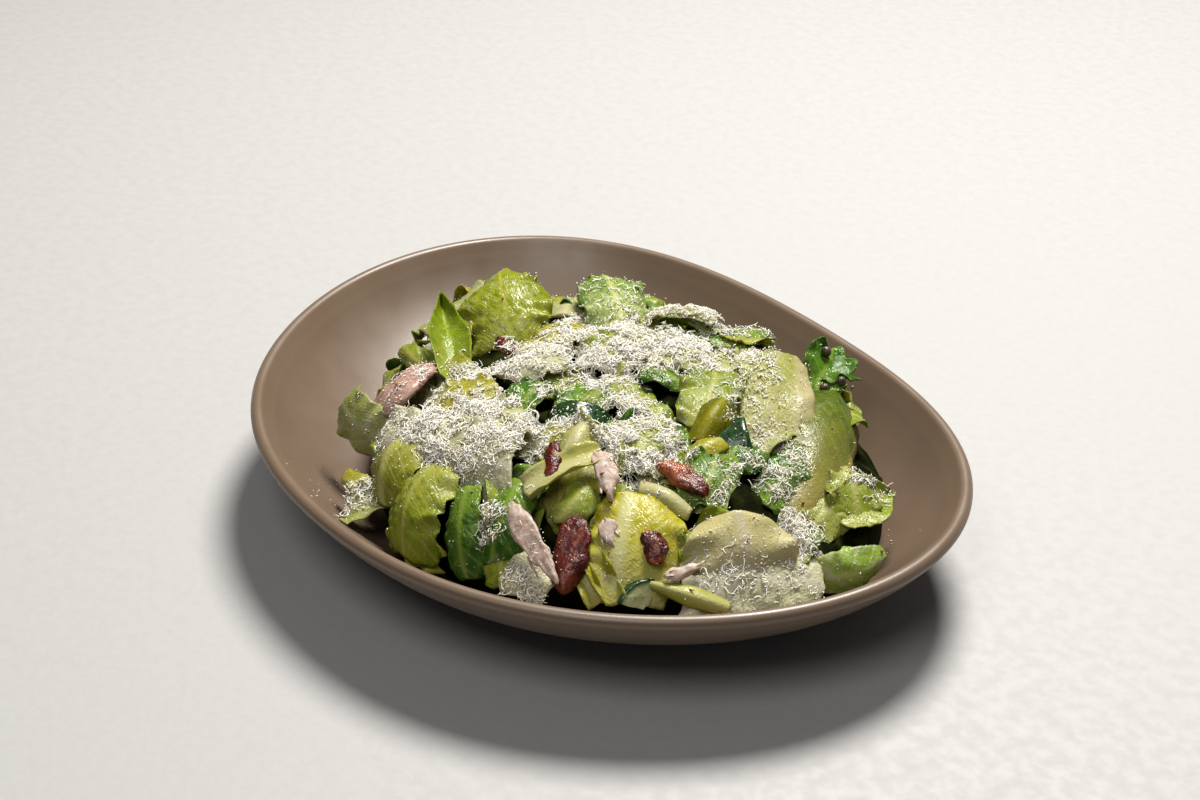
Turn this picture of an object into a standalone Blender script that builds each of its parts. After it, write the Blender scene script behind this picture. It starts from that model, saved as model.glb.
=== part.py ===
"""A caesar salad heaped in its egg-shaped stoneware bowl.

Metres, +Z up. The bowl's long axis lies along X and its flatter side faces +Y. The origin is on the
surface that the bowl stands on, under the middle of the box round the rim.

The salad is laid out in the frame in which it is served: X to the diner's right, Y away from the diner,
Z up from the table, with its origin under the middle of the rim's area. The empty "served" carries that
frame, and lengths in it are written in millimetres.
"""

import math
import random

import bmesh
import bpy
from mathutils import Matrix, Vector

MM = 0.001

# Bowl: the rim's outline is a circle with a few cosine waves, counted from the flatter side.
RIM_RADIUS = 124.6 * MM
RIM_WAVES = ((1, -0.0050), (2, -0.1255), (3, -0.0347), (5, 0.0069))
BOWL_HEIGHT = 40 * MM
WALL = 5 * MM
WALL_BEND = 78 * MM  # radius of the wall's arc, at the middle of its thickness
RIM_SLOPE = math.radians(55)
FOOT_HEIGHT = 2.5 * MM
FOOT_WIDTH = 7 * MM
FOOT_RECESS = 1.5 * MM
SCALED_INSET = 58 * MM  # from this far in, the rings are the rim's outline made smaller
ROUND_STEPS = 60  # corners of each ring of the bowl
OUTER_STEPS = 6
INNER_STEPS = 5
LIP_STEPS = 6
HEADROOM = 70 * MM  # free height above the rim that the contents may use

# How the salad is turned and placed in the bowl
SERVED_TURN = math.radians(54.5)
GAP = 0.35 * MM  # between pieces that touch

# The heap of salad, in millimetres of the served frame
HEAP_MARGIN = 27  # bare bowl between the rim's outer edge and the heap, on average
MARGIN_SWING = 11  # the heap lies nearer the rim at the front right than behind
WIDEST_MARGIN = math.radians(125)
HEAP_TOP = 61
EDGE_RISE = 3  # the heap's edge stands this high on the bowl's wall
HEAP_CROWN = 4.0  # the higher, the flatter the top and the steeper the sides
SLOPE_STEP = 2.0  # over which the heap's slope is measured
CORE_SINK = 5.5  # the packed core lies this far under the leaves
CORE_INSET = 0.95
CORE_STEPS = 40
CORE_RINGS = (1, 0.9, 0.78, 0.62, 0.42, 0.2)  # shares of the core's reach
LEAF_THICKNESS = 2.6
LEAF_GRID = (9, 6)  # faces along and across a leaf
LEAF_RUFFLE = 0.05  # a leaf's edge waves by this share of its width
VOXEL = 2.0 * MM
KEPT_TRIANGLES = 0.048

# name: (foot, tip, width, roll in degrees, arch, cup). A leaf runs from its foot to its tip. Arch lifts its
# middle by a share of its length, and cup lifts its two long edges by a share of its width.
LEAVES = {
    "back_lime": ((-30, 16, 53), (-32, 51, 67), 37, 0, 0.14, -0.16),
    "green_tip": ((-47, -4, 50), (-55, 40, 59), 15, 25, 0.05, 0.30),
    "small_tip": ((-58, 10, 46), (-67, 23, 50), 8, 0, 0.20, -0.20),
    "far_left": ((-72, -18, 36), (-87, -4, 42), 19, -10, 0.15, -0.15),
    "left_cream": ((-71, -31, 44), (-25, -67, 55), 28, 4, 0.05, -0.12),
    "left_lime": ((-62, -36, 48), (-68, -55, 34), 20, 0, 0.18, -0.20),
    "big_lime": ((-50, -54, 49), (-60, -77, 28), 26, 0, 0.20, -0.22),
    "left_yellow": ((-72, -46, 33), (-84, -35, 31), 8, 0, 0.15, -0.30),
    "left_pale": ((-69, -49, 32), (-81, -52, 27), 15, 0, 0.15, 0.15),
    "left_frill": ((-61, -67, 29), (-48, -80, 28), 11, 0, 0.20, -0.10),
    "dark_a": ((-40, -67, 48), (-38, -88, 27), 14, 0, 0.15, -0.15),
    "dark_b": ((-22, -69, 52), (-30, -90, 34), 17, 0, 0.16, -0.15),
    "olive_low": ((-28, -86, 36), (-27, -97, 31), 12, 0, 0.15, -0.10),
    "front_cheesy": ((-14, -94, 41), (-23, -106, 33), 17, 0, 0.15, -0.15),
    "heart": ((11, -109, 33), (17, -81, 54), 29, 6, 0.12, -0.14),
    "fold_a": ((5, -109, 33), (-3, -98, 43), 8, 10, 0.10, 0.30),
    "fold_b": ((-2, -109, 33), (-9, -99, 42), 7, 10, 0.10, 0.30),
    "rib_strip": ((35, -111, 34), (18, -107, 39), 7, 0, 0.12, -0.30),
    "half_disc": ((45, -101, 38), (44, -89, 52), 36, 0, 0.12, -0.10),
    "front_cream": ((28, -104, 37), (72, -99, 32), 26, -6, 0.06, -0.10),
    "front_cream_low": ((37, -108, 34), (53, -95, 40), 24, 0, 0.10, -0.10),
    "cheesy_green": ((60, -92, 36), (67, -79, 43), 15, 0, 0.10, 0.10),
    "right_bright": ((70, -93, 31), (92, -88, 36), 15, 30, 0.24, -0.25),
    "right_spiky": ((78, -72, 37), (98, -51, 34), 20, 0, 0.10, 0.15),
    "right_spiky_inner": ((70, -76, 38), (88, -51, 38), 18, 0, 0.10, -0.10),
    "smooth": ((67, -73, 40), (84, -12, 51), 25, 8, 0.10, -0.22),
    "lobe": ((80, -22, 46), (93, -22, 45), 15, 0, 0.15, 0.10),
    "dark_spiky": ((76, -9, 47), (85, 14, 54), 17, -10, 0.05, 0.15),
    "dark_spiky_side": ((76, 0, 48), (91, 4, 48), 12, 0, 0.15, -0.10),
    "pale_square": ((60, -54, 49), (62, -7, 64), 26, 4, 0.07, -0.08),
    "olive_fold": ((35, -52, 56), (46, -32, 61), 13, 0, 0.18, -0.28),
    "yellow_bits": ((31, -63, 54), (42, -54, 58), 9, 0, 0.15, -0.20),
    "cream_under": ((16, -75, 53), (31, -84, 50), 7, -15, 0.12, -0.25),
    "mid_green": ((34, -81, 47), (40, -62, 56), 18, 0, 0.12, 0.12),
    "dark_right": ((55, -72, 44), (70, -46, 51), 15, 0, 0.08, -0.15),
    "crescent": ((-20, -76, 51), (4, -67, 59), 11, -15, 0.10, 0.30),
    "mid_rib": ((-9, -86, 47), (0, -77, 54), 13, 0, 0.15, -0.15),
    "top_rib": ((-8, -64, 55), (-1, -48, 61), 11, 0, 0.15, -0.25),
    "grey_green": ((-24, -41, 58), (-17, -25, 62), 13, 0, 0.12, 0.12),
    "back_stripe": ((11, 16, 59), (5, 46, 66), 24, 0, 0.12, -0.14),
    "back_pale": ((20, 27, 59), (44, 26, 60), 12, -10, 0.14, -0.15),
    "back_bits": ((48, 14, 54), (62, 30, 52), 13, 0, 0.12, -0.10),
    "top_dark": ((33, -26, 60), (16, -19, 63), 10, 0, 0.15, -0.15),
    "top_pale": ((-29, -16, 59), (-9, -5, 63), 19, 0, 0.12, -0.10),
    "top_cheesy": ((16, -2, 61), (39, -5, 62), 23, 0, 0.12, -0.10),
    "top_middle": ((2, -14, 61), (18, 11, 63), 25, 0, 0.12, -0.10),
    "top_left": ((-56, -27, 51), (-32, -23, 60), 23, 0, 0.10, -0.10),
    "top_front": ((-41, -47, 54), (-21, -40, 61), 23, 0, 0.12, -0.10),
    "centre_front": ((16, -68, 54), (16, -47, 61), 25, 0, 0.12, -0.10),
    "right_mid": ((36, -46, 57), (44, -15, 62), 21, 0, 0.10, 0.08),
}

# Leaves that cover the heap's far side, from angle to angle of the served frame, in rows above each other.
# Each row gives its feet and its tips as shares of the heap's reach, and how many leaves it has.
FAR_SIDE = (math.radians(22), math.radians(178))
FAR_ROWS = ((0.60, 0.88, 9), (0.76, 0.97, 11))
FAR_WIDTH = 27
FAR_SIZES = (0.75, 1.2)  # of that width
FAR_LIFT = 1.5
FAR_ARCH = 0.12
FAR_CUPS = (-0.15, 0.08)
FAR_ROLL = 10  # degrees either way
FAR_TURN = 0.10  # radians either way
FAR_SHIFT = 0.05  # of the reach, either way

# Toppings as strips: name: (one end, other end, width, thickness, roll in degrees, wave, arch, kind)
STRIPS = {
    "bacon_1": ((-4, -87, 49.5), (-8, -109, 36), 11.5, 5.0, 0, 0.9, 0.5, "bacon"),
    "bacon_2": ((21, -69, 58), (37, -79, 52), 8, 4.0, 0, 1.0, 0.6, "bacon"),
    "bacon_3": ((-11, -61, 60), (-13, -75, 55), 6.5, 3.6, 0, 0.6, 0.2, "bacon"),
    "bacon_4": ((16.5, -94, 48.5), (22, -102.5, 42), 8.5, 4.0, 0, 0.6, 0.3, "bacon"),
    "bacon_5": ((-33, 3, 63), (-26, -8, 63), 6, 3.5, 0, 0.5, 0.3, "bacon"),
    "chicken_1": ((-27, -82, 52.5), (-14.5, -110, 42), 6, 5.0, 0, 0.6, 1.2, "chicken"),
    "chicken_2": ((2, -67, 61), (7, -85, 54), 8, 5.0, 0, 0.5, 0.8, "chicken"),
    "chicken_3": ((4, -90, 50), (7.5, -98.5, 45), 6, 5.0, 0, 0.5, 0.4, "chicken"),
    "chicken_4": ((22, -107, 40.5), (34, -103, 41.5), 5.5, 4.2, 0, 0.5, 0.5, "chicken"),
    "ham": ((-57, 4, 53), (-72, -15, 43), 17, 5.0, 0, 0.8, 3.0, "ham"),
}
STRIP_RINGS = {"bacon": 9, "chicken": 8, "ham": 8}
STRIP_SIDES = 8
STRIP_BLUNT = 0.8  # exponent that squares off a strip's oval section
TAPER = 0.35  # a piece of chicken loses this share of its width along its length

# Cucumber, cut in thick slices and the slices in pieces: name: (middle of the slice, direction of the skin's
# middle, direction of the slice's axis, radius, spread in degrees, thickness)
CUCUMBER = {
    "cucumber_1": ((16.5, -107.5, 29.5), (-0.45, 0.2, 0.87), (0.35, -0.8, 0.4), 10, 86, 6.0),
    "cucumber_2": ((48, -45.5, 48.5), (-0.2, -0.6, 0.77), (0.95, 0.05, 0.3), 11, 96, 11.0),
    "cucumber_3": ((-4, -37, 51), (0, -0.35, 0.94), (0.12, 0.94, 0.35), 11.5, 146, 8.0),
}
SLICE_EDGE = 0.5  # rounding of a cucumber slice's edges
SLICE_HEART = 0.16  # the two cuts meet this share of the radius from the slice's middle
SLICE_STEP = 12  # degrees between the corners of a slice's arc
TOMATO = ((56, 17.5, 43), (0.3, 0.2, 0.93), (0.9, -0.4, -0.2), 9.5, 74)
TOMATO_ARC = (-72, 72)  # degrees that the wedge's skin covers from tip to tip
TOMATO_RINGS = 7

COLOURS = {
    "bowl": ((0.30, 0.22, 0.17), 0.38),
    "salad": ((0.33, 0.45, 0.10), 0.45),
    "bacon": ((0.20, 0.035, 0.02), 0.35),
    "chicken": ((0.62, 0.46, 0.36), 0.50),
    "ham": ((0.62, 0.34, 0.27), 0.45),
    "cucumber": ((0.42, 0.55, 0.26), 0.35),
    "tomato": ((0.55, 0.05, 0.025), 0.30),
}


def material(kind):
    name = kind + "_finish"
    made = bpy.data.materials.get(name)
    if made is None:
        colour, roughness = COLOURS[kind]
        made = bpy.data.materials.new(name)
        made.use_nodes = True
        shader = made.node_tree.nodes["Principled BSDF"]
        shader.inputs["Base Color"].default_value = (*colour, 1)
        shader.inputs["Roughness"].default_value = roughness
        shader.inputs["Metallic"].default_value = 0
    return made


def add_object(name, bm, collection, kind, parent=None):
    """A named object with this mesh, its faces turned outwards."""
    bmesh.ops.recalc_face_normals(bm, faces=bm.faces)
    mesh = bpy.data.meshes.new(name)
    bm.to_mesh(mesh)
    bm.free()
    mesh.materials.append(material(kind))
    mesh.shade_smooth()
    mesh.set_sharp_from_angle(angle=math.radians(40))
    made = bpy.data.objects.new(name, mesh)
    made.parent = parent
    collection.objects.link(made)
    return made


def loft(bm, rings):
    """One closed body through these rings of points, with a flat cap at each end."""
    rows = [[bm.verts.new(point) for point in ring] for ring in rings]
    count = len(rows[0])
    for low, high in zip(rows, rows[1:]):
        for i in range(count):
            j = (i + 1) % count
            bm.faces.new((low[i], low[j], high[j], high[i]))
    bm.faces.new(rows[0])
    bm.faces.new(rows[-1])


# Bowl ------------------------------------------------------------------------------------------------


def rim_radius(angle):
    """From the middle of the rim's area to its outer edge. The angle is counted from the flatter side."""
    return RIM_RADIUS * (1 + sum(size * math.cos(count * angle) for count, size in RIM_WAVES))


# Puts the box round the rim evenly about the origin
RIM_MIDDLE_Y = (rim_radius(math.pi) - rim_radius(0)) / 2

# The wall's cross-section, as inset from the rim's outer edge and height: an arc about this centre
LIP_INSET = WALL / 2
LIP_HEIGHT = BOWL_HEIGHT - WALL / 2
BEND_INSET = LIP_INSET + WALL_BEND * math.sin(RIM_SLOPE)
BEND_HEIGHT = LIP_HEIGHT + WALL_BEND * math.cos(RIM_SLOPE)
OUTER_BEND = WALL_BEND + WALL / 2
INNER_BEND = WALL_BEND - WALL / 2


def inset_stretch(angle, inset):
    """How much more than inset a ring is drawn in here, so that the rings keep the rim's outline."""
    return 1 + (rim_radius(angle) / RIM_RADIUS - 1) * min(inset / SCALED_INSET, 1)


def ring(inset, height):
    """The rim's outline drawn in by inset, at this height."""
    points = []
    for step in range(ROUND_STEPS):
        angle = 2 * math.pi * step / ROUND_STEPS
        radius = rim_radius(angle) - inset * inset_stretch(angle, inset)
        points.append((radius * math.sin(angle), RIM_MIDDLE_Y + radius * math.cos(angle), height))
    return points


def wall_arc(bend, start, end, steps):
    """Rings up or down the wall, between two slopes of its arc."""
    slopes = [start + (end - start) * step / steps for step in range(steps + 1)]
    return [ring(BEND_INSET - bend * math.sin(s), BEND_HEIGHT - bend * math.cos(s)) for s in slopes]


def lip_arc():
    """Rings over the rounded lip, from the outer face to the inner face."""
    start = RIM_SLOPE - math.pi / 2
    angles = [start + math.pi * step / LIP_STEPS for step in range(1, LIP_STEPS)]
    return [
        ring(LIP_INSET - WALL / 2 * math.cos(a), LIP_HEIGHT + WALL / 2 * math.sin(a)) for a in angles
    ]


def make_bowl(collection):
    foot_slope = math.acos((BEND_HEIGHT - FOOT_HEIGHT) / OUTER_BEND)
    foot_inset = BEND_INSET - OUTER_BEND * math.sin(foot_slope)
    bm = bmesh.new()
    loft(
        bm,
        [
            ring(foot_inset + FOOT_WIDTH, FOOT_RECESS),
            ring(foot_inset + FOOT_WIDTH, 0),
            ring(foot_inset, 0),
            *wall_arc(OUTER_BEND, foot_slope, RIM_SLOPE, OUTER_STEPS),
            *lip_arc(),
            *wall_arc(INNER_BEND, RIM_SLOPE, 0, INNER_STEPS),
        ],
    )
    return add_object("bowl", bm, collection, "bowl")


def make_bowl_inside(collection):
    """The room in the bowl for its contents, a gap away from the glaze, and on up above the rim."""
    bm = bmesh.new()
    rings = wall_arc(INNER_BEND - GAP, RIM_SLOPE, 0, INNER_STEPS)[::-1]
    top = [(x, y, BOWL_HEIGHT + HEADROOM) for x, y, _ in rings[-1]]
    loft(bm, [*rings, top])
    return add_object("bowl_inside", bm, collection, "bowl")


def served_rim(angle):
    """The rim's radius in millimetres, towards an angle of the served frame."""
    return rim_radius(angle + SERVED_TURN - math.pi / 2) / MM


def floor_height(x, y):
    """Height in millimetres of the bowl's inner surface, over a point of the served frame in millimetres."""
    angle = math.atan2(y, x) + SERVED_TURN - math.pi / 2
    drawn_in = rim_radius(angle) - math.hypot(x, y) * MM
    inset = drawn_in
    for _ in range(4):
        inset = drawn_in / inset_stretch(angle, inset)
    across = min(max(BEND_INSET - inset, 0), INNER_BEND * math.sin(RIM_SLOPE))
    return (BEND_HEIGHT - math.sqrt(INNER_BEND**2 - across**2)) / MM


# Heap ------------------------------------------------------------------------------------------------


def heap_reach(angle):
    """How far the heap spreads from the middle of the bowl towards this angle of the served frame."""
    return served_rim(angle) - HEAP_MARGIN - MARGIN_SWING * math.cos(angle - WIDEST_MARGIN)


def heap_height(x, y):
    """The heap's mean surface, without its leaves' relief."""
    angle = math.atan2(y, x)
    reach = heap_reach(angle)
    edge = floor_height(reach * math.cos(angle), reach * math.sin(angle)) + EDGE_RISE
    share = min(math.hypot(x, y) / reach, 1.1)
    return edge + (HEAP_TOP - edge) * (1 - share**HEAP_CROWN)


def heap_normal(x, y):
    step = SLOPE_STEP
    slope_x = (heap_height(x + step, y) - heap_height(x - step, y)) / (2 * step)
    slope_y = (heap_height(x, y + step) - heap_height(x, y - step)) / (2 * step)
    return Vector((-slope_x, -slope_y, 1)).normalized()


def lie_along(start, end, roll):
    """(middle, axes): X runs from start to end, and Z lies near the heap's normal, then rolled."""
    start, end = Vector(start), Vector(end)
    middle = (start + end) / 2
    along = (end - start).normalized()
    up = heap_normal(middle.x, middle.y)
    up = (up - up.dot(along) * along).normalized()
    axes = Matrix((along, up.cross(along), up)).transposed()
    return middle, axes @ Matrix.Rotation(math.radians(roll), 3, "X")


def leaf_width(share):
    """A torn leaf's width along its length: narrower at the foot, rounded at the tip."""
    foot = 0.72 + 0.28 * min(share / 0.4, 1)
    tip = math.sqrt(max(1 - max((share - 0.62) / 0.42, 0) ** 2.4, 0.06))
    return foot * tip


def leaf_point(leaf, share, side, seed):
    """A point of the leaf, in millimetres: share runs from foot to tip, side from -1 to 1 across."""
    foot, tip, width, roll, arch, cup = leaf
    middle, axes = lie_along(foot, tip, roll)
    length = (Vector(tip) - Vector(foot)).length
    half = width / 2 * leaf_width(share)
    ruffle = LEAF_RUFFLE * width * side**2 * math.sin(11 * share + 2.3 * side + seed)
    lift = arch * length * 4 * share * (1 - share) + cup * width * side**2 + ruffle
    place = middle + axes @ Vector(((share - 0.5) * length, half * side, lift))
    place.z = max(place.z, floor_height(place.x, place.y) + LEAF_THICKNESS / 2)
    return place


def far_leaves():
    """The rows of leaves on the far side, each a little turned and shifted."""
    chance = random.Random(7)
    made = []
    for feet, tips, count in FAR_ROWS:
        for index in range(count):
            share = (index + chance.uniform(0.2, 0.8)) / count
            angle = FAR_SIDE[0] + (FAR_SIDE[1] - FAR_SIDE[0]) * share
            ends = []
            for place, lift in ((feet, 0), (tips, FAR_LIFT)):
                turned = angle + chance.uniform(-FAR_TURN, FAR_TURN)
                reach = heap_reach(turned) * (place + chance.uniform(-FAR_SHIFT, FAR_SHIFT))
                x, y = reach * math.cos(turned), reach * math.sin(turned)
                ends.append((x, y, heap_height(x, y) + lift))
            width = FAR_WIDTH * chance.uniform(*FAR_SIZES)
            roll = chance.uniform(-FAR_ROLL, FAR_ROLL)
            made.append((*ends, width, roll, FAR_ARCH, chance.uniform(*FAR_CUPS)))
    return made


def add_leaf(bm, leaf, seed):
    made = bmesh.ops.create_grid(bm, x_segments=LEAF_GRID[0], y_segments=LEAF_GRID[1], size=1)
    for vert in made["verts"]:
        vert.co = leaf_point(leaf, (vert.co.x + 1) / 2, vert.co.y, seed) * MM
    faces = list({face for vert in made["verts"] for face in vert.link_faces})
    bmesh.ops.recalc_face_normals(bm, faces=faces)
    bmesh.ops.solidify(bm, geom=faces, thickness=LEAF_THICKNESS * MM)


def add_core(bm):
    """The packed middle of the heap, as a dome that reaches down through the bowl's floor."""
    rings = []
    for share, height in ((CORE_RINGS[0], 0), *((share, 1) for share in CORE_RINGS)):
        points = []
        for step in range(CORE_STEPS):
            angle = 2 * math.pi * step / CORE_STEPS
            reach = heap_reach(angle) * share * CORE_INSET
            x = reach * math.cos(angle)
            y = reach * math.sin(angle)
            points.append((x * MM, y * MM, height * (heap_height(x, y) - CORE_SINK) * MM))
        rings.append(points)
    loft(bm, rings)


def make_heap(collection, parent, bowl_inside, topping_cutters):
    bm = bmesh.new()
    add_core(bm)
    for seed, leaf in enumerate([*LEAVES.values(), *far_leaves()]):
        add_leaf(bm, leaf, seed)
    heap = add_object("salad_heap", bm, collection, "salad", parent)
    remesh = heap.modifiers.new("join", "REMESH")
    remesh.mode = "VOXEL"
    remesh.voxel_size = VOXEL
    decimate = heap.modifiers.new("facets", "DECIMATE")
    decimate.ratio = KEPT_TRIANGLES
    settle = heap.modifiers.new("settle", "BOOLEAN")
    settle.operation = "INTERSECT"
    settle.object = bowl_inside
    nest = heap.modifiers.new("nest", "BOOLEAN")
    nest.operation = "DIFFERENCE"
    nest.operand_type = "COLLECTION"
    nest.collection = topping_cutters
    return heap


# Toppings --------------------------------------------------------------------------------------------


def strip_mesh(length, width, thickness, wave, arch, kind, seed, grow):
    """A torn strip along X: wavy for bacon, tapered for chicken, and in a broad bow for ham."""
    rings = []
    count = STRIP_RINGS[kind]
    for step in range(count):
        share = step / (count - 1)
        end = (1 - abs(2 * share - 1) ** 4) ** 0.5
        taper = 1 - TAPER * share if kind == "chicken" else 1
        uneven = 1 + 0.10 * math.sin(7 * share + seed)
        half_wide = width / 2 * (0.45 + 0.55 * end) * taper * uneven + grow
        half_thick = thickness / 2 * (0.6 + 0.4 * end) + grow
        rise = wave * math.sin(9 * share + seed) + arch * (4 * share * (1 - share) - 0.5)
        drift = 0.06 * width * math.sin(5 * share + 2 * seed)
        x = (share - 0.5) * (length + 2 * grow)
        points = []
        for side in range(STRIP_SIDES):
            angle = 2 * math.pi * (side + 0.5) / STRIP_SIDES
            cos, sin = math.cos(angle), math.sin(angle)
            y = half_wide * math.copysign(abs(cos) ** STRIP_BLUNT, cos) + drift
            z = half_thick * math.copysign(abs(sin) ** STRIP_BLUNT, sin) + rise
            points.append((x * MM, y * MM, z * MM))
        rings.append(points)
    bm = bmesh.new()
    loft(bm, rings)
    return bm


def sector(radius, spread, z, grow):
    """The outline of a slice's piece: its arc of skin, and the two cuts that meet near its middle."""
    half = math.radians(spread) / 2
    steps = max(round(spread / SLICE_STEP), 5)
    arc = [-half + 2 * half * step / steps for step in range(steps + 1)]
    inner = SLICE_HEART * radius
    near = [(inner * math.cos(a) - 2 * grow, inner * math.sin(a), z) for a in (half, 0, -half)]
    outer = radius + grow
    wider = 1 + grow / radius
    far = [(outer * math.cos(a), outer * math.sin(a) * wider, z) for a in arc]
    return [tuple(c * MM for c in point) for point in [*far, *near]]


def cucumber_mesh(radius, spread, thickness, grow):
    bm = bmesh.new()
    half = thickness / 2 + grow
    loft(
        bm,
        [
            sector(radius - SLICE_EDGE, spread, -half, grow),
            sector(radius, spread, SLICE_EDGE - half, grow),
            sector(radius, spread, half - SLICE_EDGE, grow),
            sector(radius - SLICE_EDGE, spread, half, grow),
        ],
    )
    return bm


def tomato_mesh(radius, spread, grow):
    """A wedge of a small tomato, its skin round both ways."""
    bm = bmesh.new()
    rings = []
    first, last = TOMATO_ARC
    for step in range(TOMATO_RINGS):
        turn = math.radians(first + (last - first) * step / (TOMATO_RINGS - 1))
        height = radius * math.sin(turn) * (1 + grow / radius)
        rings.append(sector(radius * math.cos(turn), spread, height, grow))
    loft(bm, rings)
    return bm


def place_strip(made, start, end, roll):
    middle, axes = lie_along(start, end, roll)
    made.location = middle * MM
    made.rotation_euler = axes.to_euler()


def place_slice(made, middle, facing, axis):
    """Puts the slice's middle here, with its skin facing one way and its flat cuts along the axis."""
    facing = Vector(facing).normalized()
    axis = Vector(axis)
    axis = (axis - axis.dot(facing) * facing).normalized()
    made.location = Vector(middle) * MM
    made.rotation_euler = Matrix((facing, axis.cross(facing), axis)).transposed().to_euler()


def make_toppings(collection, parent, suffix="", grow=0.0):
    """All the toppings, or with grow the slightly larger shapes that make room for them in the heap."""
    for seed, (name, strip) in enumerate(STRIPS.items()):
        start, end, width, thickness, roll, wave, arch, kind = strip
        length = (Vector(end) - Vector(start)).length
        bm = strip_mesh(length, width, thickness, wave, arch, kind, seed, grow)
        made = add_object(name + suffix, bm, collection, kind, parent)
        place_strip(made, start, end, roll)
    for name, (middle, facing, axis, radius, spread, thickness) in CUCUMBER.items():
        bm = cucumber_mesh(radius, spread, thickness, grow)
        made = add_object(name + suffix, bm, collection, "cucumber", parent)
        place_slice(made, middle, facing, axis)
    middle, facing, axis, radius, spread = TOMATO
    bm = tomato_mesh(radius, spread, grow)
    made = add_object("tomato_1" + suffix, bm, collection, "tomato", parent)
    place_slice(made, middle, facing, axis)


# Assembly --------------------------------------------------------------------------------------------


def new_collection(name, parent=None):
    made = bpy.data.collections.new(name)
    (parent or bpy.context.scene.collection).children.link(made)
    return made


def hide(collection):
    for helper in collection.all_objects:
        helper.hide_render = True
        helper.display_type = "WIRE"


def main():
    for old in list(bpy.data.objects):
        bpy.data.objects.remove(old)
    salad = new_collection("caesar_salad")
    cutters = new_collection("cutters")
    topping_cutters = new_collection("topping_cutters", cutters)

    served = bpy.data.objects.new("served", None)
    served.location = (0, RIM_MIDDLE_Y, 0)
    served.rotation_euler = (0, 0, SERVED_TURN)
    salad.objects.link(served)

    make_bowl(salad)
    bowl_inside = make_bowl_inside(cutters)
    make_toppings(salad, served)
    make_toppings(topping_cutters, served, "_room", GAP / MM)
    make_heap(salad, served, bowl_inside, topping_cutters)
    hide(cutters)


main()
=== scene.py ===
"""Looks of a caesar salad in its egg-shaped stoneware bowl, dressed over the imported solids.

The salad is laid out in millimetres of the frame in which it is served: X to the diner's right, Y away
from the diner, Z up from the table, with its origin under the middle of the rim's area. to_row turns
these points into the row frame, in metres.
"""

import math
import random
from itertools import product

import bpy
import numpy as np
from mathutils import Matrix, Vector


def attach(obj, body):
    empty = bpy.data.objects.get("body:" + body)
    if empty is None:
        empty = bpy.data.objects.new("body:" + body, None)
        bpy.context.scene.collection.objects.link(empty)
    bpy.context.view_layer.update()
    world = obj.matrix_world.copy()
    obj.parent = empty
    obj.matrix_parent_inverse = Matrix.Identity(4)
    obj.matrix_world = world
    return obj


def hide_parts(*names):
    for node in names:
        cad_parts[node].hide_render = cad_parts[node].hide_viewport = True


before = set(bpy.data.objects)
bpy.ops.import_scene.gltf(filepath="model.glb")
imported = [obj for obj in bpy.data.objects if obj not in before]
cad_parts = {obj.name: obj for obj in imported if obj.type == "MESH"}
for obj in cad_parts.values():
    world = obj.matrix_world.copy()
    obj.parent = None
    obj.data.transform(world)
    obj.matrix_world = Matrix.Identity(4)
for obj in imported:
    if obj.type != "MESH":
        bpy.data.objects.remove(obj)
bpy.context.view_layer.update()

MM = 0.001

# Bowl, as its solid
RIM_RADIUS = 124.6
RIM_WAVES = ((1, -0.0050), (2, -0.1255), (3, -0.0347), (5, 0.0069))
BOWL_HEIGHT = 40
WALL = 5
WALL_BEND = 78
RIM_SLOPE = math.radians(55)
FOOT_HEIGHT = 2.5
FOOT_WIDTH = 7
FOOT_RECESS = 1.5
SCALED_INSET = 58
SERVED_TURN = math.radians(54.5)
ROUND_STEPS = 240
WALL_STEPS = 30
LIP_STEPS = 18

# Heap, as its solid
HEAP_MARGIN = 27
MARGIN_SWING = 11
WIDEST_MARGIN = math.radians(125)
HEAP_TOP = 61
EDGE_RISE = 3
HEAP_CROWN = 4.0
CEILING = 68.8

# The imported middle of the heap, which shows only in the gaps between leaves, coloured near-black green as painted
# shade
CORE_SINK = 8.5
CORE_INSET = 0.90
CORE_ROUND = 150
CORE_RINGS = 48

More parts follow.
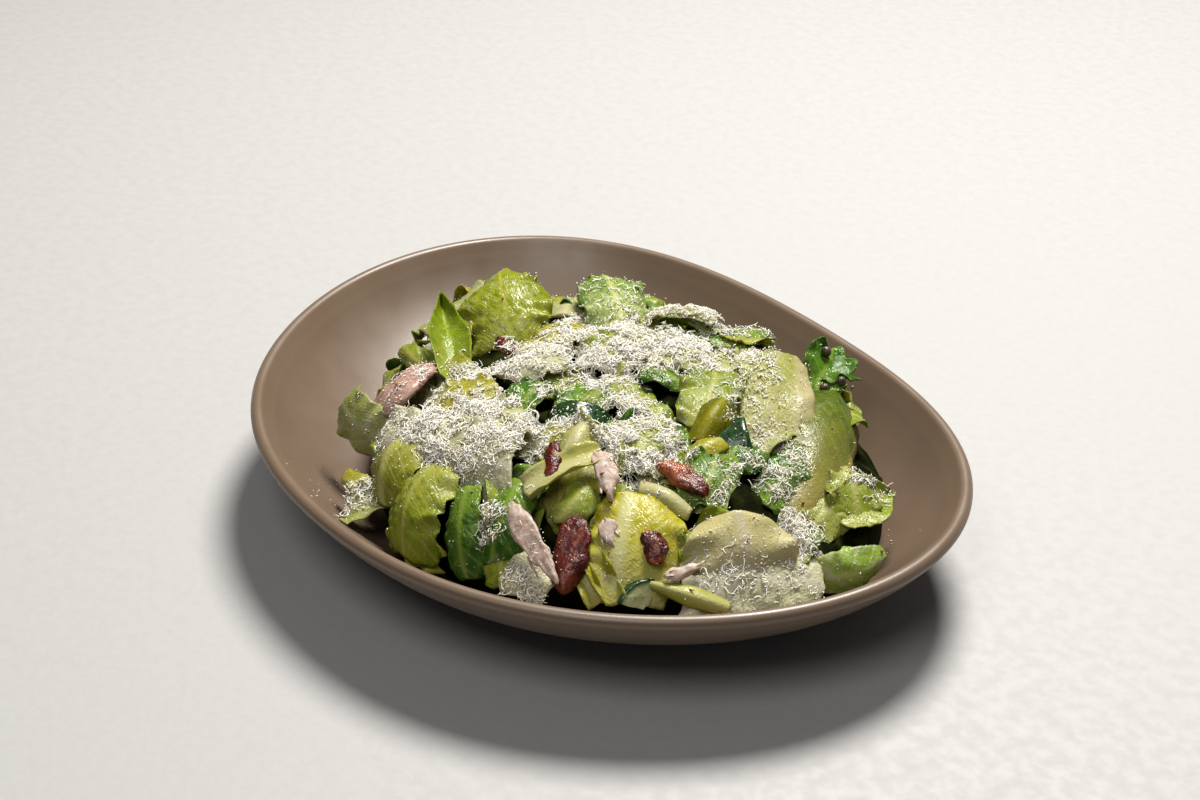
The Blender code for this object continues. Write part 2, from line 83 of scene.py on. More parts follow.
# name: (foot, tip, width, roll in degrees, arch, cup), as in the heap's solid, then the leaf's kind and
# how much of the grated cheese strewn there stays on it
LEAVES = {
    "back_lime": ((-30, 16, 53), (-32, 51, 67), 37, 0, 0.14, -0.16, "dome", 0.35),
    "green_tip": ((-47, -4, 50), (-55, 40, 59), 15, 25, 0.05, 0.30, "grass", 0.08),
    "small_tip": ((-58, 10, 46), (-67, 23, 50), 8, 0, 0.20, -0.20, "lime", 0.8),
    "far_left": ((-72, -18, 36), (-87, -4, 42), 19, -10, 0.15, -0.15, "pale", 1.0),
    "left_cream": ((-71, -31, 44), (-25, -67, 55), 28, 4, 0.05, -0.12, "cream", 1.0),
    "left_lime": ((-62, -37, 48), (-68, -56, 34), 28, 0, 0.18, -0.20, "ribbed", 0.1),
    "big_lime": ((-50, -54, 49), (-60, -77, 28), 26, 0, 0.20, -0.22, "lime", 0.3),
    "left_yellow": ((-72, -46, 33), (-84, -35, 31), 8, 0, 0.15, -0.30, "yellow", 0.6),
    "left_pale": ((-69, -49, 32), (-81, -52, 27), 15, 0, 0.15, 0.15, "pale", 1.0),
    "left_frill": ((-61, -67, 29), (-48, -80, 28), 11, 0, 0.20, -0.10, "frilled", 0.8),
    "dark_a": ((-40, -67, 48), (-38, -88, 27), 14, 0, 0.15, -0.15, "dark", 0.25),
    "dark_b": ((-22, -69, 52), (-30, -90, 34), 17, 0, 0.16, -0.15, "dark", 0.6),
    "olive_low": ((-28, -86, 36), (-27, -97, 31), 12, 0, 0.15, -0.10, "lime", 0.1),
    "front_cheesy": ((-14, -94, 41), (-23, -106, 33), 17, 0, 0.15, -0.15, "crumbly", 0.8),
    "heart": ((11, -109, 33), (17, -81, 54), 29, 6, 0.12, -0.14, "heart", 0.5),
    "fold_a": ((8, -109, 33), (0, -97, 42), 8, 10, 0.10, 0.30, "yellow", 0.3),
    "fold_b": ((2, -109, 32), (-3, -99, 40), 7, 10, 0.10, 0.30, "yellow", 0.5),
    "rib_strip": ((42, -112, 33), (18, -107, 39), 6.5, 0, 0.12, -0.30, "slip", 0.2),
    "half_disc": ((46.5, -101, 38), (45.5, -88.5, 53), 38, 0, 0.12, -0.10, "disc", 0.25),
    "front_cream": ((28, -104, 37), (72, -99, 32), 26, -6, 0.06, -0.10, "crumbly", 0.7),
    "front_cream_low": ((37, -108, 34), (53, -95, 40), 24, 0, 0.10, -0.10, "crumbly", 0.7),
    "cheesy_green": ((60, -92, 36), (67, -79, 43), 15, 0, 0.10, 0.10, "green", 1.0),
    "right_bright": ((70, -93, 31), (92, -88, 36), 15, 30, 0.24, -0.25, "glossy", 0.3),
    "right_spiky": ((78, -70, 38), (98, -51, 35), 19, 0, 0.10, 0.15, "pointed", 1.0),
    "right_spiky_inner": ((70, -76, 38), (88, -51, 38), 18, 0, 0.10, -0.10, "spiky", 0.8),
    "smooth": ((67, -73, 40), (84, -12, 51), 25, 8, 0.10, -0.22, "smooth", 0.06),
    "lobe": ((80, -22, 46), (93, -22, 45), 15, 0, 0.15, 0.10, "spiky", 0.6),
    "dark_spiky": ((76, -9, 47), (85, 14, 54), 17, -10, 0.05, 0.15, "bright", 0.4),
    "dark_spiky_side": ((76, 0, 48), (91, 4, 48), 12, 0, 0.15, -0.10, "bright", 0.4),
    "pale_square": ((60, -54, 49), (62, -7, 64), 26, 4, 0.07, -0.08, "square", 0.8),
    "olive_fold": ((35, -52, 56), (46, -32, 61), 13, 0, 0.18, -0.28, "olive", 0.05),
    "yellow_bits": ((31, -63, 54), (42, -54, 58), 9, 0, 0.15, -0.20, "yellow", 0.5),
    "cream_under": ((16, -75, 53), (31, -84, 50), 7, -15, 0.12, -0.25, "stalk", 0.4),
    "mid_green": ((34, -81, 47), (40, -62, 56), 18, 0, 0.12, 0.12, "green", 1.0),
    "dark_right": ((55, -72, 44), (70, -46, 51), 15, 0, 0.08, -0.15, "bright", 1.0),
    "crescent": ((-20, -76, 51), (4, -67, 59), 11, -15, 0.10, 0.30, "stalk", 0.12),
    "mid_rib": ((-9, -86, 47), (0, -77, 54), 13, 0, 0.15, -0.15, "spiky", 0.6),
    "top_rib": ((-8, -64, 55), (-1, -48, 61), 11, 0, 0.15, -0.25, "stalk", 0.7),
    "grey_green": ((-24, -41, 58), (-17, -25, 62), 13, 0, 0.12, 0.12, "dark", 0.9),
    "back_stripe": ((11, 16, 59), (5, 46, 66), 24, 0, 0.12, -0.14, "striped", 0.2),
    "back_pale": ((20, 27, 59), (44, 26, 60), 12, -10, 0.14, -0.15, "pale", 1.0),
    "back_bits": ((48, 14, 54), (62, 30, 52), 13, 0, 0.12, -0.10, "green", 0.8),
    "top_dark": ((33, -26, 60), (16, -19, 63), 10, 0, 0.15, -0.15, "dark", 0.5),
    "top_pale": ((-29, -16, 59), (-9, -5, 63), 19, 0, 0.12, -0.10, "cream", 1.0),
    "top_cheesy": ((16, -2, 61), (39, -5, 62), 23, 0, 0.12, -0.10, "pale", 1.0),
    "top_middle": ((2, -14, 61), (18, 11, 63), 25, 0, 0.12, -0.10, "spiky", 1.0),
    "top_left": ((-56, -27, 51), (-32, -23, 60), 23, 0, 0.10, -0.10, "yellow", 1.0),
    "top_front": ((-41, -47, 54), (-21, -40, 61), 23, 0, 0.12, -0.10, "pale", 1.0),
    "centre_front": ((16, -68, 54), (16, -47, 61), 25, 0, 0.12, -0.10, "spiky", 1.0),
    "right_mid": ((36, -46, 57), (44, -15, 62), 21, 0, 0.10, 0.08, "spiky", 0.9),
}

# Rows of leaves on the heap's far side, as in its solid
FAR_SIDE = (math.radians(22), math.radians(178))
FAR_ROWS = ((0.60, 0.88, 9), (0.76, 0.97, 11))
FAR_WIDTH = 27
FAR_LEFT = math.radians(140)
FAR_DRAWN_IN = 0.14
FAR_GAP = (math.radians(86), math.radians(112))
FAR_SUNK = 8
FAR_LIFT = 1.5
FAR_KINDS = ("lime", "spiky", "pale", "green", "lime", "cream", "bright", "yellow")

# Torn leaves that fill the heap under its top ones
UNDER_COUNT = 80
UNDER_REACH = 0.88
UNDER_LEFT_OUT = (23, 25, 30, 67, 79)
UNDER_KINDS = ("lime", "spiky", "green", "dark", "yellow", "spiky", "pale", "bright", "ribbed")

# Leaves that lie lower, between those above
FILLERS = {
    "centre_long": ((5, -17, 59), (24, -47, 57), 15, 0, 0.08, -0.10, "spiky", 1.0),
    "centre_cross": ((-3, -29, 57), (20, -24, 59), 17, 0, 0.10, -0.10, "green", 0.9),
    "back_yellow": ((-18, 4, 57), (-5, 26, 58), 17, 0, 0.12, -0.12, "yellow", 1.0),
    "back_gap": ((-8, 20, 57), (6, 30, 58), 16, 0, 0.12, -0.12, "pale", 1.0),
    "far_gap": ((-10, 30, 58), (-6, 50, 52), 18, 0, 0.12, -0.12, "pale", 0.5),
    "right_gap": ((36, -50, 53), (44, -28, 56), 15, 0, 0.10, 0.10, "green", 0.9),
    "middle_gap": ((-13, -56, 54), (0, -47, 57), 15, 0, 0.10, -0.10, "yellow", 0.8),
    "left_gap": ((-72, -10, 43), (-60, 6, 48), 16, 0, 0.10, -0.10, "pale", 0.8),
}

# Drifts of grated cheese: (x, y) of the middle, half length, half width, heading in degrees, amount
DRIFTS = (
    ((-40, -41), 30, 22, -22, 1.0),
    ((-60, -34), 12, 12, 0, 0.5),
    ((-48, -9), 22, 15, -10, 0.8),
    ((-22, -8), 20, 20, 0, 0.75),
    ((14, 2), 34, 28, -20, 1.0),
    ((8, 33), 15, 15, 0, 0.75),
    ((35, 27), 20, 9, -5, 0.65),
    ((45, -4), 18, 16, 0, 0.9),
    ((14, -52), 15, 25, 10, 1.0),
    ((-8, -40), 14, 12, 0, 0.55),
    ((54, -32), 13, 20, 0, 0.42),
    ((61, -58), 13, 13, 0, 0.5),
    ((38, -71), 12, 11, 0, 0.55),
    ((66, -83), 9, 10, 0, 0.85),
    ((52, -99), 25, 9, 0, 0.34),
    ((-18, -101), 10, 9, 0, 0.85),
    ((-31, -81), 6, 6, 0, 0.8),
    ((-78, -48), 9, 8, 0, 0.4),
    ((90, -54), 10, 9, 0, 0.4),
    ((60, 22), 10, 8, 0, 0.35),
)
SPRINKLE = 0.025
DRIFT_CLUMP = 8.0
DRIFT_LACE = 3.2

LEAF_SPACING = 0.75
FAR_SPACING = 1.0
UNDER_SPACING = 1.25
BLADE_THICKNESS = 0.55

# kind: (light blade, deep blade, rib) in sRGB, (rib's place across at foot and tip, its half width in mm
# at foot and tip, thickness in mm), how squarely it is cut, blisters in mm, ruffle, frill, share of
# dressing film, roughness
KINDS = {
    "lime": ((168, 178, 36), (118, 138, 11), (192, 190, 94), (0, 0.1, 1.6, 0.5, 1.2), 0.5, 0.9, 0.05, 0.10, 0.12, 0.22),
    "grass": ((146, 164, 24), (104, 134, 6), (178, 190, 71), (0, 0, 0.8, 0.2, 0.8), -1.0, 0.30, 0.03, 0.06, 0.06, 0.20),
    "ribbed": ((172, 170, 22), (128, 132, 5), (200, 198, 116), (0, 0, 2.4, 1.6, 1.6), 0.8, 0.4, 0.03, 0.06, 0.06, 0.22),
    "pale": ((187, 189, 107), (148, 160, 56), (202, 198, 146), (0.1, -0.1, 2.2, 1.0, 1.4), 0.9, 0.5, 0.06, 0.12, 0.40, 0.34),
    "cream": ((207, 203, 168), (184, 187, 127), (212, 207, 177), (0, 0, 4.5, 2.0, 2.2), 1.0, 0.5, 0.04, 0.08, 0.50, 0.36),
    "square": ((191, 187, 101), (161, 169, 61), (203, 192, 139), (-0.7, -0.8, 4.5, 3.0, 2.4), 1.0, 0.4, 0.02, 0.05, 0.35, 0.34),
    "yellow": ((185, 177, 32), (153, 148, 8), (200, 196, 105), (0, 0, 1.8, 0.8, 1.5), 0.6, 0.4, 0.05, 0.10, 0.10, 0.26),
    "heart": ((224, 214, 48), (184, 174, 14), (226, 222, 150), (0.35, 0.35, 3.2, 2.2, 2.2), 0.2, 0.5, 0.03, 0.05, 0.04, 0.22),
    "frilled": ((196, 191, 70), (169, 166, 31), (203, 200, 123), (0, 0, 1.2, 0.5, 1.0), 0.3, 0.5, 0.16, 0.28, 0.2, 0.30),
    "spiky": ((163, 176, 51), (115, 142, 17), (193, 193, 106), (0, 0.1, 1.6, 0.6, 1.2), 0.4, 0.5, 0.08, 0.22, 0.22, 0.28),
    "pointed": ((176, 188, 60), (138, 160, 28), (196, 196, 110), (0, 0, 1.2, 0.3, 1.0), -0.8, 0.35, 0.02, 0.06, 0.22, 0.24),
    "green": ((112, 153, 30), (66, 117, 8), (168, 180, 81), (0, 0, 1.5, 0.6, 1.2), 0.6, 0.5, 0.05, 0.14, 0.2, 0.26),
    "bright": ((86, 138, 24), (38, 96, 7), (140, 168, 60), (0, 0, 1.2, 0.5, 1.0), 0.3, 0.7, 0.08, 0.24, 0.12, 0.20),
    "dark": ((84, 134, 30), (36, 88, 10), (146, 172, 65), (0.1, -0.1, 1.3, 0.7, 1.2), 0.5, 0.8, 0.05, 0.08, 0.14, 0.14),
    "olive": ((126, 122, 4), (88, 88, 1), (160, 155, 31), (0, 0, 2.0, 1.2, 1.6), 0.2, 0.15, 0.02, 0.04, 0.03, 0.28),
    "smooth": ((112, 134, 13), (66, 96, 2), (196, 176, 100), (-0.7, -0.9, 1.0, 0.4, 0.5), 0.1, 0.12, 0.02, 0.02, 0.05, 0.26),
    "striped": ((176, 196, 75), (40, 108, 11), (206, 212, 128), (0, 0, 1.6, 1.0, 1.2), 0.8, 0.5, 0.05, 0.10, 0.20, 0.26),
    "stalk": ((208, 204, 121), (188, 188, 78), (214, 208, 149), (0, 0, 3.0, 2.0, 2.6), 0.9, 0.08, 0.02, 0.04, 0.10, 0.22),
    "dome": ((168, 176, 30), (122, 138, 7), (190, 192, 78), (-0.1, 0.1, 1.0, 0.4, 0.8), -0.55, 0.8, 0.05, 0.10, 0.30, 0.14),
    "glossy": ((178, 202, 81), (118, 168, 35), (206, 214, 128), (0, 0, 1.0, 0.4, 0.8), -0.4, 0.7, 0.06, 0.10, 0.62, 0.16),
    "crumbly": ((230, 226, 190), (208, 208, 152), (222, 216, 186), (0, 0, 3.0, 1.6, 1.6), 0.9, 0.9, 0.05, 0.12, 0.66, 0.34),
    "slip": ((196, 194, 88), (174, 180, 50), (208, 204, 129), (0, 0, 1.4, 0.8, 1.4), -0.5, 0.1, 0.02, 0.04, 0.16, 0.24),
    "disc": ((228, 214, 156), (206, 198, 124), (228, 218, 180), (-0.1, 0, 2.0, 1.4, 0.8), -2, 0.2, 0.02, 0.03, 0.10, 0.22),
}

HALF_ROUND = -2  # the cut of a half disc

# kind: how fast the pale foot fades along a leaf, how far the pale middle spreads across it
FADES = {"smooth": (1.5, 0.14)}

# Toppings, as their solids: strips, cucumber pieces and the tomato wedge
STRIPS = {
    "bacon_1": ((-4, -87, 49.5), (-8, -109, 36), 11.5, 5.0, 0, 0.9, 0.5, "bacon"),
    "bacon_2": ((37, -79, 52), (21, -69, 58), 8, 4.0, 0, 1.0, 0.6, "bacon"),
    "bacon_3": ((-11, -61, 60), (-13, -75, 55), 6.5, 3.6, 0, 0.6, 0.2, "bacon"),
    "bacon_4": ((16.5, -94, 48.5), (22, -102.5, 42), 8.5, 4.0, 0, 0.6, 0.3, "bacon"),
    "bacon_5": ((-33, 3, 63), (-26, -8, 63), 6, 3.5, 0, 0.5, 0.3, "bacon"),
    "chicken_1": ((-25, -82.5, 52.5), (-10.5, -111, 40.5), 10, 2.8, 0, 0.6, 1.2, "chicken"),
    "chicken_2": ((2, -67, 61), (7, -85, 54), 9.5, 3.4, 0, 0.5, 0.8, "chicken"),
    "chicken_3": ((4, -90, 50), (7.5, -98.5, 45), 7, 3.0, 0, 0.5, 0.4, "chicken"),
    "chicken_4": ((22, -107, 40.5), (34, -103, 41.5), 6, 2.8, 0, 0.5, 0.5, "chicken"),
    "ham": ((-57, 4, 53), (-72, -15, 43), 20, 5.0, 0, 0.8, 3.0, "ham"),
}
STRIP_SPACING = 0.45
STRIP_SIDES = 28
CUCUMBER = {
    "cucumber_1": ((16.5, -107.5, 29.5), (-0.45, 0.2, 0.87), (0.35, -0.8, 0.4), 10, 86, 6.0),
    "cucumber_2": ((48, -45.5, 48.5), (-0.2, -0.6, 0.77), (0.95, 0.05, 0.3), 11, 96, 11.0),
    "cucumber_3": ((-4, -37, 51), (0, -0.35, 0.94), (0.12, 0.94, 0.35), 11.5, 146, 8.0),
}
TOMATO = ((56, 17.5, 43), (0.3, 0.2, 0.93), (0.9, -0.4, -0.2), 9.5, 74)


# Frames and heights ----------------------------------------------------------------------------------


def rim_radius(angle):
    """From the middle of the rim's area to its outer edge. The angle is counted from the flatter side, +Y."""
    return RIM_RADIUS * (1 + sum(size * np.cos(count * angle) for count, size in RIM_WAVES))


RIM_MIDDLE_Y = (rim_radius(math.pi) - rim_radius(0)) / 2
LIP_INSET = WALL / 2
LIP_HEIGHT = BOWL_HEIGHT - WALL / 2
BEND_INSET = LIP_INSET + WALL_BEND * math.sin(RIM_SLOPE)
BEND_HEIGHT = LIP_HEIGHT + WALL_BEND * math.cos(RIM_SLOPE)
OUTER_BEND = WALL_BEND + WALL / 2
INNER_BEND = WALL_BEND - WALL / 2


def to_row(points):
    points = np.asarray(points, float)
    cos, sin = math.cos(SERVED_TURN), math.sin(SERVED_TURN)
    x = points[..., 0] * cos - points[..., 1] * sin
    y = points[..., 0] * sin + points[..., 1] * cos + RIM_MIDDLE_Y
    return np.stack((x, y, points[..., 2]), -1) * MM


def inset_stretch(angle, inset):
    return 1 + (rim_radius(angle) / RIM_RADIUS - 1) * np.minimum(inset / SCALED_INSET, 1)


def wall_inset(x, y):
    """How far in from the rim's outer edge a point of the served frame lies, as the bowl's rings count it."""
    angle = np.arctan2(y, x) + SERVED_TURN - math.pi / 2
    drawn_in = rim_radius(angle) - np.hypot(x, y)
    inset = drawn_in
    for _ in range(4):
        inset = drawn_in / inset_stretch(angle, inset)
    return inset


def floor_height(x, y):
    """Height of the bowl's inner surface."""
    across = np.clip(BEND_INSET - wall_inset(x, y), 0, INNER_BEND * math.sin(RIM_SLOPE))
    return BEND_HEIGHT - np.sqrt(INNER_BEND**2 - across**2)


def heap_reach(angle):
    rim = rim_radius(angle + SERVED_TURN - math.pi / 2)
    return rim - HEAP_MARGIN - MARGIN_SWING * np.cos(angle - WIDEST_MARGIN)


def heap_height(x, y):
    """The heap's mean surface."""
    angle = np.arctan2(y, x)
    reach = heap_reach(angle)
    edge = floor_height(reach * np.cos(angle), reach * np.sin(angle)) + EDGE_RISE
    share = np.minimum(np.hypot(x, y) / reach, 1.1)
    return edge + (HEAP_TOP - edge) * (1 - share**HEAP_CROWN)


def unit(vector):
    vector = np.asarray(vector, float)
    return vector / np.linalg.norm(vector, axis=-1, keepdims=True)


def heap_normal(x, y):
    step = 2.0
    slope_x = (heap_height(x + step, y) - heap_height(x - step, y)) / (2 * step)
    slope_y = (heap_height(x, y + step) - heap_height(x, y - step)) / (2 * step)
    return unit((-slope_x, -slope_y, 1))


def lie_along(start, end, roll):
    """(middle, axes): X runs from start to end and Z stands as near to the heap's normal as it can."""
    start, end = np.array(start, float), np.array(end, float)
    middle = (start + end) / 2
    along = unit(end - start)
    up = heap_normal(middle[0], middle[1])
    up = unit(up - up @ along * along)
    cos, sin = math.cos(math.radians(roll)), math.sin(math.radians(roll))
    axes = np.stack((along, np.cross(up, along), up), 1)
    return middle, axes @ np.array(((1, 0, 0), (0, cos, -sin), (0, sin, cos)))


def noise(points, cell, seed=0):
    """Smooth noise from -1 to 1, over lumps of about this many millimetres."""
    places = np.asarray(points, float) / cell + seed * 7.13
    low = np.floor(places).astype(np.int64)
    part = places - low
    part = part * part * (3 - 2 * part)
    total = np.zeros(places.shape[:-1])
    for corner in product((0, 1), repeat=3):
        key = (low + np.array(corner)) @ np.array((374761393, 668265263, 974634777))
        key = (key ^ (key >> 13)) * 1274126177
        key = key ^ (key >> 16)
        weight = np.prod(np.where(corner, part, 1 - part), axis=-1)
        total += ((key & 0xFFFF) / 32767.5 - 1) * weight
    return total


# Materials -------------------------------------------------------------------------------------------


LIT_SHARE = 0.74


def linear(colour, share=LIT_SHARE):
    """A colour as it looks under the stage's lights, in sRGB, 0 to 255, as Blender's linear values."""
    parts = np.array(colour, float) / 255
    parts = np.where(parts <= 0.04045, parts / 12.92, ((parts + 0.055) / 1.055) ** 2.4)
    return (*(parts * share), 1.0)


class Finish:
    """A material and short calls that add nodes to it."""

    def __init__(self, name):
        self.material = bpy.data.materials.new(name)
        self.material.use_nodes = True
        self.tree = self.material.node_tree
        self.tree.nodes.clear()
        self.place = self.add("ShaderNodeTexCoord").outputs["Object"]

    def add(self, kind, inputs=None, **settings):
        made = self.tree.nodes.new(kind)
        for key, value in settings.items():
            setattr(made, key, value)
        for key, value in (inputs or {}).items():
            if isinstance(value, bpy.types.NodeSocket):
                self.tree.links.new(value, made.inputs[key])
            else:
                made.inputs[key].default_value = value
        return made

    def mix(self, factor, first, second):
        made = self.add("ShaderNodeMix", {0: factor, 6: first, 7: second}, data_type="RGBA")
        return made.outputs[2]

    def value(self, name):
        return self.add("ShaderNodeAttribute", attribute_name=name).outputs["Fac"]

    def noise(self, per_metre, detail=2.0, stretch=None):
        place = self.place
        if stretch:
            place = self.add("ShaderNodeMapping", {"Vector": place, "Scale": stretch}).outputs[0]
        made = self.add("ShaderNodeTexNoise", {"Vector": place, "Scale": per_metre, "Detail": detail})
        return made.outputs["Fac"]

    def band(self, value, low, high, bottom=0.0, top=1.0):
        inputs = {"Value": value, "From Min": low, "From Max": high, "To Min": bottom, "To Max": top}
        return self.add("ShaderNodeMapRange", inputs, interpolation_type="SMOOTHSTEP").outputs[0]

    def math(self, operation, first, second):
        return self.add("ShaderNodeMath", {0: first, 1: second}, operation=operation).outputs[0]

    def bump(self, height, distance, strength=1.0, normal=None):
        inputs = {"Height": height, "Distance": distance, "Strength": strength}
        if normal:
            inputs["Normal"] = normal
        return self.add("ShaderNodeBump", inputs).outputs[0]

    def finish(self, colour, roughness, normal=None, glow=0.0, glow_colour=None, **constants):
        inputs = {"Base Color": colour, "Roughness": roughness}
        if normal:
            inputs["Normal"] = normal
        shader = self.add("ShaderNodeBsdfPrincipled", inputs)
        for key, value in constants.items():
            shader.inputs[key.replace("_", " ")].default_value = value
        surface = shader.outputs[0]
        if glow:
            through = self.add("ShaderNodeBsdfTranslucent", {"Color": glow_colour or colour})
            both = self.add("ShaderNodeMixShader", {0: glow, 1: surface, 2: through.outputs[0]})
            surface = both.outputs[0]
        self.add("ShaderNodeOutputMaterial", {"Surface": surface})
        return self.material


FILM = linear((214, 208, 184))
CHEESE_LIGHT = linear((254, 252, 246), 1)
CHEESE_DEEP = linear((250, 245, 230), 1)
CHEESE_BED = linear((232, 226, 180), 0.9)


def leaf_finish(kind):
    light, deep, rib, _, _, _, _, _, film, roughness = KINDS[kind]
    made = Finish("leaf_" + kind)
    mottled = made.band(made.noise(120, 3.0), 0.35, 0.68)
    inner = made.value("pale")
    outer = made.math("MULTIPLY", made.math("SUBTRACT", 1.0, inner), 1.0)
    green = made.math("MULTIPLY", made.math("ADD", mottled, outer), 0.5)
    colour = made.mix(green, linear(light), linear(deep))
    veins = made.math("MULTIPLY", made.value("vein"), 0.6)
    colour = made.mix(veins, colour, linear(rib))
    colour = made.mix(made.math("MULTIPLY", made.value("foot"), 0.8), colour, linear(rib))
    colour = made.mix(made.value("rib"), colour, linear(rib))
    patches = made.noise(260, 4.0)
    coated = made.math("MULTIPLY", made.band(patches, 0.66 - 0.3 * film, 0.80 - 0.25 * film), 0.25 + 0.6 * film)
    colour = made.mix(coated, colour, FILM)
    specks = made.band(made.noise(900, 1.0), 0.70, 0.74)
    colour = made.mix(made.math("MULTIPLY", specks, 0.15 + 0.5 * film), colour, CHEESE_LIGHT)
    grain = made.noise(1100, 4.0)
    dusted = made.band(made.math("ADD", made.value("dust"), made.math("MULTIPLY", grain, 1.2)), 0.74, 1.35)
    colour = made.mix(made.math("MULTIPLY", dusted, 0.8), colour, CHEESE_BED)
    core = made.band(made.math("ADD", made.value("dust"), made.math("MULTIPLY", grain, 1.2)), 1.15, 1.5)
    colour = made.mix(made.math("MULTIPLY", core, 0.9), colour, CHEESE_DEEP)
    damp = made.band(made.noise(340, 2.0), 0.38, 0.62, roughness - 0.10, roughness + 0.16)
    wet = made.math("ADD", damp, made.math("MULTIPLY", dusted, 0.25))
    crumbly = made.math("MULTIPLY", grain, made.math("ADD", 0.4, dusted))
    fine = made.bump(crumbly, 0.0009, 0.6)
    normal = made.bump(made.value("vein"), 0.00035, 0.5, fine)
    return made.finish(colour, wet, normal, glow=0.30, Specular_IOR_Level=0.42, IOR=1.38)


def bowl_finish():
    made = Finish("taupe_glaze")
    cloud = made.noise(14, 3.0)
    colour = made.mix(made.band(cloud, 0.35, 0.65), linear((116, 97, 79)), linear((107, 89, 72)))
    pits = made.band(made.noise(2600, 1.0), 0.66, 0.74)
    colour = made.mix(made.math("MULTIPLY", pits, 0.18), colour, linear((98, 80, 66)))
    # Painted highlight: the rounded lip is mixed towards a lighter tone, for the light that catches the rim
    colour = made.mix(made.math("MULTIPLY", made.value("lip"), 0.45), colour, linear((126, 104, 84)))
    rough = made.band(made.noise(60, 3.0), 0.3, 0.7, 0.34, 0.44)
    swirl = made.bump(made.noise(45, 2.0), 0.0006, 0.25)
    normal = made.bump(made.noise(1800, 2.0), 0.00012, 0.25, swirl)
    return made.finish(colour, rough, normal, Specular_IOR_Level=0.5, IOR=1.5)


def cheese_finish():
    made = Finish("grated_cheese")
    tone = made.band(made.noise(320, 2.0), 0.35, 0.65)
    colour = made.mix(tone, CHEESE_LIGHT, CHEESE_DEEP)
    normal = made.bump(made.noise(2600, 2.0), 0.0003, 0.5)
    rough = made.band(made.noise(700, 2.0), 0.3, 0.7, 0.45, 0.65)
    return made.finish(colour, rough, normal, glow=0.18, Specular_IOR_Level=0.1, IOR=1.4)


def bacon_finish():
    made = Finish("fried_bacon")
    lean = made.mix(made.band(made.noise(240, 4.0), 0.35, 0.65), linear((62, 14, 10)), linear((100, 30, 18)))
    burnt = made.band(made.noise(420, 3.0), 0.56, 0.72)
    lean = made.mix(burnt, lean, linear((34, 12, 10)))
    ends = made.mix(made.value("tip"), lean, linear((158, 84, 46)))
    streak = made.math("MULTIPLY", made.value("fat"), made.band(made.noise(500, 3.0), 0.45, 0.70))
    colour = made.mix(streak, ends, linear((176, 98, 74)))
    rough = made.band(made.noise(600, 2.0), 0.3, 0.7, 0.16, 0.34)
    normal = made.bump(made.noise(900, 4.0), 0.0007, 0.7)
    return made.finish(colour, rough, normal, Specular_IOR_Level=0.4, IOR=1.46)


def chicken_finish():
    made = Finish("pulled_chicken")
    tone = made.band(made.noise(300, 4.0), 0.3, 0.7)
    colour = made.mix(tone, linear((228, 208, 192)), linear((206, 172, 152)))
    # Painted shade: the chicken is darker in the recessed grooves between its ridges
    groove_shade = made.math("MULTIPLY", made.value("groove_shade"), 0.2)
    colour = made.mix(groove_shade, colour, linear((184, 138, 116)))
    film = made.band(made.noise(500, 3.0), 0.52, 0.66)
    colour = made.mix(made.math("MULTIPLY", film, 0.6), colour, linear((238, 228, 214)))
    normal = made.bump(made.noise(1100, 3.0), 0.0004, 0.5)
    return made.finish(colour, 0.42, normal, glow=0.2, Specular_IOR_Level=0.4)


def ham_finish():
    made = Finish("pink_ham")
    tone = made.band(made.noise(160, 4.0), 0.3, 0.7)
    colour = made.mix(tone, linear((208, 172, 156)), linear((186, 132, 116)))
    film = made.band(made.noise(320, 3.0), 0.56, 0.72)
    colour = made.mix(made.math("MULTIPLY", film, 0.5), colour, linear((236, 220, 204)))
    normal = made.bump(made.noise(800, 3.0), 0.0005, 0.5)
    rough = made.band(made.noise(300, 2.0), 0.3, 0.7, 0.30, 0.48)
    return made.finish(colour, rough, normal, glow=0.12, Specular_IOR_Level=0.5)


def cucumber_finish():
    made = Finish("cucumber")
    seeds = made.band(made.noise(420, 3.0), 0.45, 0.62)
    flesh = made.mix(seeds, linear((206, 212, 158)), linear((188, 200, 130)))
    ring = made.band(made.value("radial"), 0.78, 0.96)
    flesh = made.mix(ring, flesh, linear((104, 148, 62)))
    skin = made.mix(made.band(made.noise(380, 4.0), 0.35, 0.7), linear((22, 50, 20)), linear((44, 82, 32)))
    colour = made.mix(made.value("skin"), flesh, skin)
    normal = made.bump(made.noise(900, 3.0), 0.0004, 0.5)
    return made.finish(colour, 0.24, normal, glow=0.10, Specular_IOR_Level=0.55)


def tomato_finish():
    made = Finish("tomato")
    skin = made.mix(made.band(made.noise(200, 3.0), 0.3, 0.7), linear((190, 44, 28)), linear((214, 78, 40)))
    flesh = made.mix(made.band(made.noise(600, 3.0), 0.4, 0.6), linear((214, 96, 66)), linear((226, 132, 92)))
    colour = made.mix(made.value("skin"), flesh, skin)
    normal = made.bump(made.noise(900, 3.0), 0.0003, 0.4)
    return made.finish(colour, 0.22, normal, glow=0.08, Specular_IOR_Level=0.55)


def speckled_finish(name, light, deep, roughness, scale=700, depth=0.0005, shine=0.5):
    """A plain two-tone finish with a fine grain."""
    made = Finish(name)
    colour = made.mix(made.band(made.noise(scale, 3.0), 0.35, 0.65), linear(light), linear(deep))
    rough = made.band(made.noise(scale * 0.6, 2.0), 0.3, 0.7, roughness - 0.06, roughness + 0.10)
    normal = made.bump(made.noise(scale * 1.6, 3.0), depth, 0.5)
    return made.finish(colour, rough, normal, Specular_IOR_Level=shine)


# Meshes ----------------------------------------------------------------------------------------------

surfaces = []  # points of what the cheese can lie on, in served millimetres


